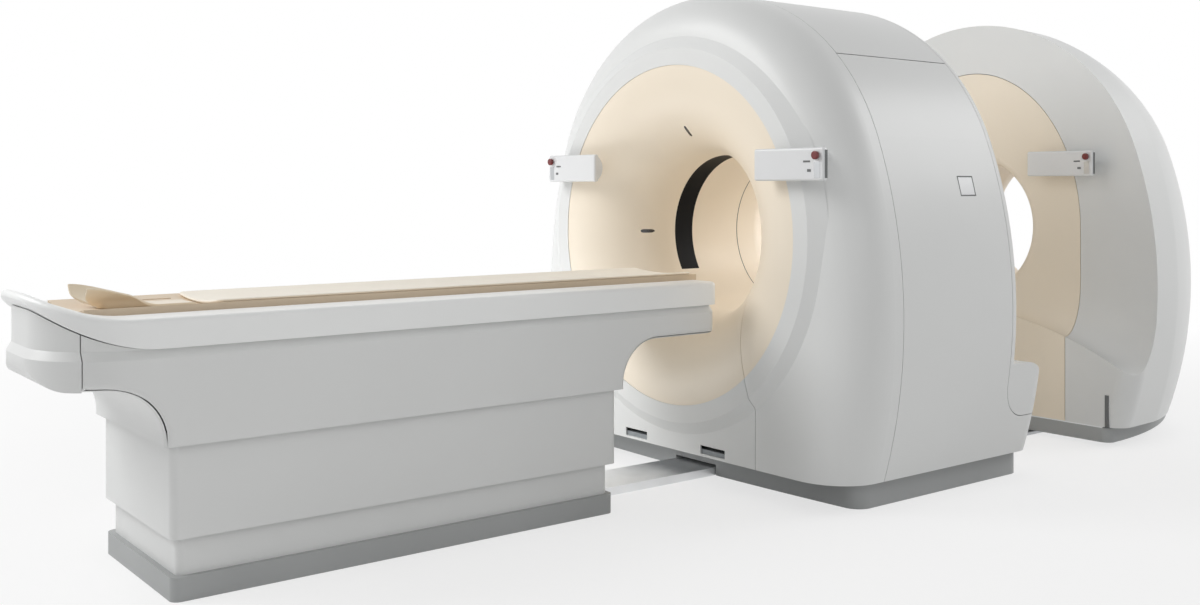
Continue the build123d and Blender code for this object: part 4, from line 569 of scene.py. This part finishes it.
def close_mouths():
    tube_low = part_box("pet_bore_tube")[0]
    funnel_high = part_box("ct_rear_funnel")[1]
    mouth_skirt("pet_mouth_skirt", "pet_cream_arch", PET_MOUTH_R, tube_low.y, -1, "pet_gantry")
    mouth_skirt("ct_rear_mouth_skirt", "ct_rear_cover", CT_REAR_MOUTH_R, funnel_high.y, 1, "base")


def liner_seam():
    """Dark line where the bore liner meets the rear funnel."""
    seam_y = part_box("ct_bore_liner")[1].y
    axis_z = bore_axis_z()
    sections = []
    for step in range(SEAM_STEPS):
        angle = 2 * math.pi * step / SEAM_STEPS
        section = []
        for depth, y in ((1, -1), (1, 1), (-1, 1), (-1, -1)):
            radius = BORE_R - depth * SEAM_PROUD
            section.append((radius * math.cos(angle), seam_y + y * SEAM_WIDTH / 2,
                            axis_z + radius * math.sin(angle)))
        sections.append(section)
    band("bore_seam", sections, True, "rubber", "base")


# Light, floor and camera

def area_light(name, place, target, size, power):
    light = bpy.data.lights.new(name, "AREA")
    light.shape = "DISK"
    light.size = size
    light.energy = power
    lamp = bpy.data.objects.new(name, light)
    scene.collection.objects.link(lamp)
    lamp.visible_camera = False
    lamp.location = place
    lamp.rotation_euler = (Vector(target) - Vector(place)).to_track_quat("-Z", "Y").to_euler()


def camera_rays(tree):
    """One where a ray shows the background: straight from the camera, mirrored or through glass."""
    path = tree.nodes.new("ShaderNodeLightPath")
    total = path.outputs["Is Camera Ray"]
    for kind in ("Is Glossy Ray", "Is Transmission Ray"):
        either = tree.nodes.new("ShaderNodeMath")
        either.operation = "MAXIMUM"
        tree.links.new(total, either.inputs[0])
        tree.links.new(path.outputs[kind], either.inputs[1])
        total = either.outputs["Value"]
    return total


def make_world():
    world = bpy.data.worlds.new("studio")
    scene.world = world
    world.use_nodes = True
    tree = world.node_tree
    soft = tree.nodes["Background"]
    soft.inputs["Color"].default_value = (1, 1, 1, 1)
    soft.inputs["Strength"].default_value = SKY_STRENGTH
    white = tree.nodes.new("ShaderNodeBackground")
    white.inputs["Strength"].default_value = 1.0
    white.inputs["Color"].default_value = (1, 1, 1, 1)
    mix = tree.nodes.new("ShaderNodeMixShader")
    tree.links.new(camera_rays(tree), mix.inputs["Fac"])
    tree.links.new(soft.outputs["Background"], mix.inputs[1])
    tree.links.new(white.outputs["Background"], mix.inputs[2])
    tree.links.new(mix.outputs["Shader"], tree.nodes["World Output"].inputs["Surface"])


def make_floor():
    """Pale floor that keeps the shadow near the object and fades to white further out."""
    bpy.ops.mesh.primitive_plane_add(size=FLOOR_SIZE, location=(0, 0, -FLOOR_DROP))
    floor = bpy.context.object
    floor.name = "floor"
    material = bpy.data.materials.new("floor")
    material.use_nodes = True
    tree = material.node_tree
    tree.nodes.clear()
    diffuse = tree.nodes.new("ShaderNodeBsdfDiffuse")
    diffuse.inputs["Color"].default_value = (FLOOR_TONE, FLOOR_TONE, FLOOR_TONE, 1)
    glow = tree.nodes.new("ShaderNodeEmission")
    glow.inputs["Strength"].default_value = 1.0
    fade = tree.nodes.new("ShaderNodeMapRange")
    place = tree.nodes.new("ShaderNodeNewGeometry")
    middle = tree.nodes.new("ShaderNodeVectorMath")
    middle.operation = "LENGTH"
    fade.inputs["From Min"].default_value = FLOOR_FADE_START
    fade.inputs["From Max"].default_value = FLOOR_FADE_END
    fade.inputs["To Min"].default_value = FLOOR_GLOW_NEAR_SHARE
    fade.inputs["To Max"].default_value = 1.0
    seen = tree.nodes.new("ShaderNodeMath")
    seen.operation = "MULTIPLY"
    mix = tree.nodes.new("ShaderNodeMixShader")
    output = tree.nodes.new("ShaderNodeOutputMaterial")
    tree.links.new(place.outputs["Position"], middle.inputs[0])
    tree.links.new(middle.outputs["Value"], fade.inputs["Value"])
    tree.links.new(fade.outputs["Result"], seen.inputs[0])
    tree.links.new(camera_rays(tree), seen.inputs[1])
    tree.links.new(seen.outputs["Value"], mix.inputs["Fac"])
    tree.links.new(diffuse.outputs["BSDF"], mix.inputs[1])
    tree.links.new(glow.outputs["Emission"], mix.inputs[2])
    tree.links.new(mix.outputs["Shader"], output.inputs["Surface"])
    floor.data.materials.append(material)


def make_lights():
    for name, settings in LIGHTS.items():
        area_light(name, *settings)


def make_camera():
    data = bpy.data.cameras.new("camera")
    data.sensor_fit = "HORIZONTAL"
    data.sensor_width = SENSOR_WIDTH
    data.lens = FOCAL_PX / PHOTO_WIDTH * SENSOR_WIDTH
    data.shift_y = (HORIZON_PX - PHOTO_HEIGHT / 2) / PHOTO_WIDTH
    camera = bpy.data.objects.new("camera", data)
    scene.collection.objects.link(camera)
    camera.location = CAMERA_PLACE
    camera.rotation_euler = (math.radians(CAMERA_TILT), 0, math.radians(CAMERA_TURN))
    scene.camera = camera


dress_frame()
make_pad()
make_holder()
trim_panels()
latch_frame("side_latch_right", 1)
latch_frame("side_latch_left", -1)
close_mouths()
liner_seam()
make_world()
make_floor()
make_lights()
make_camera()
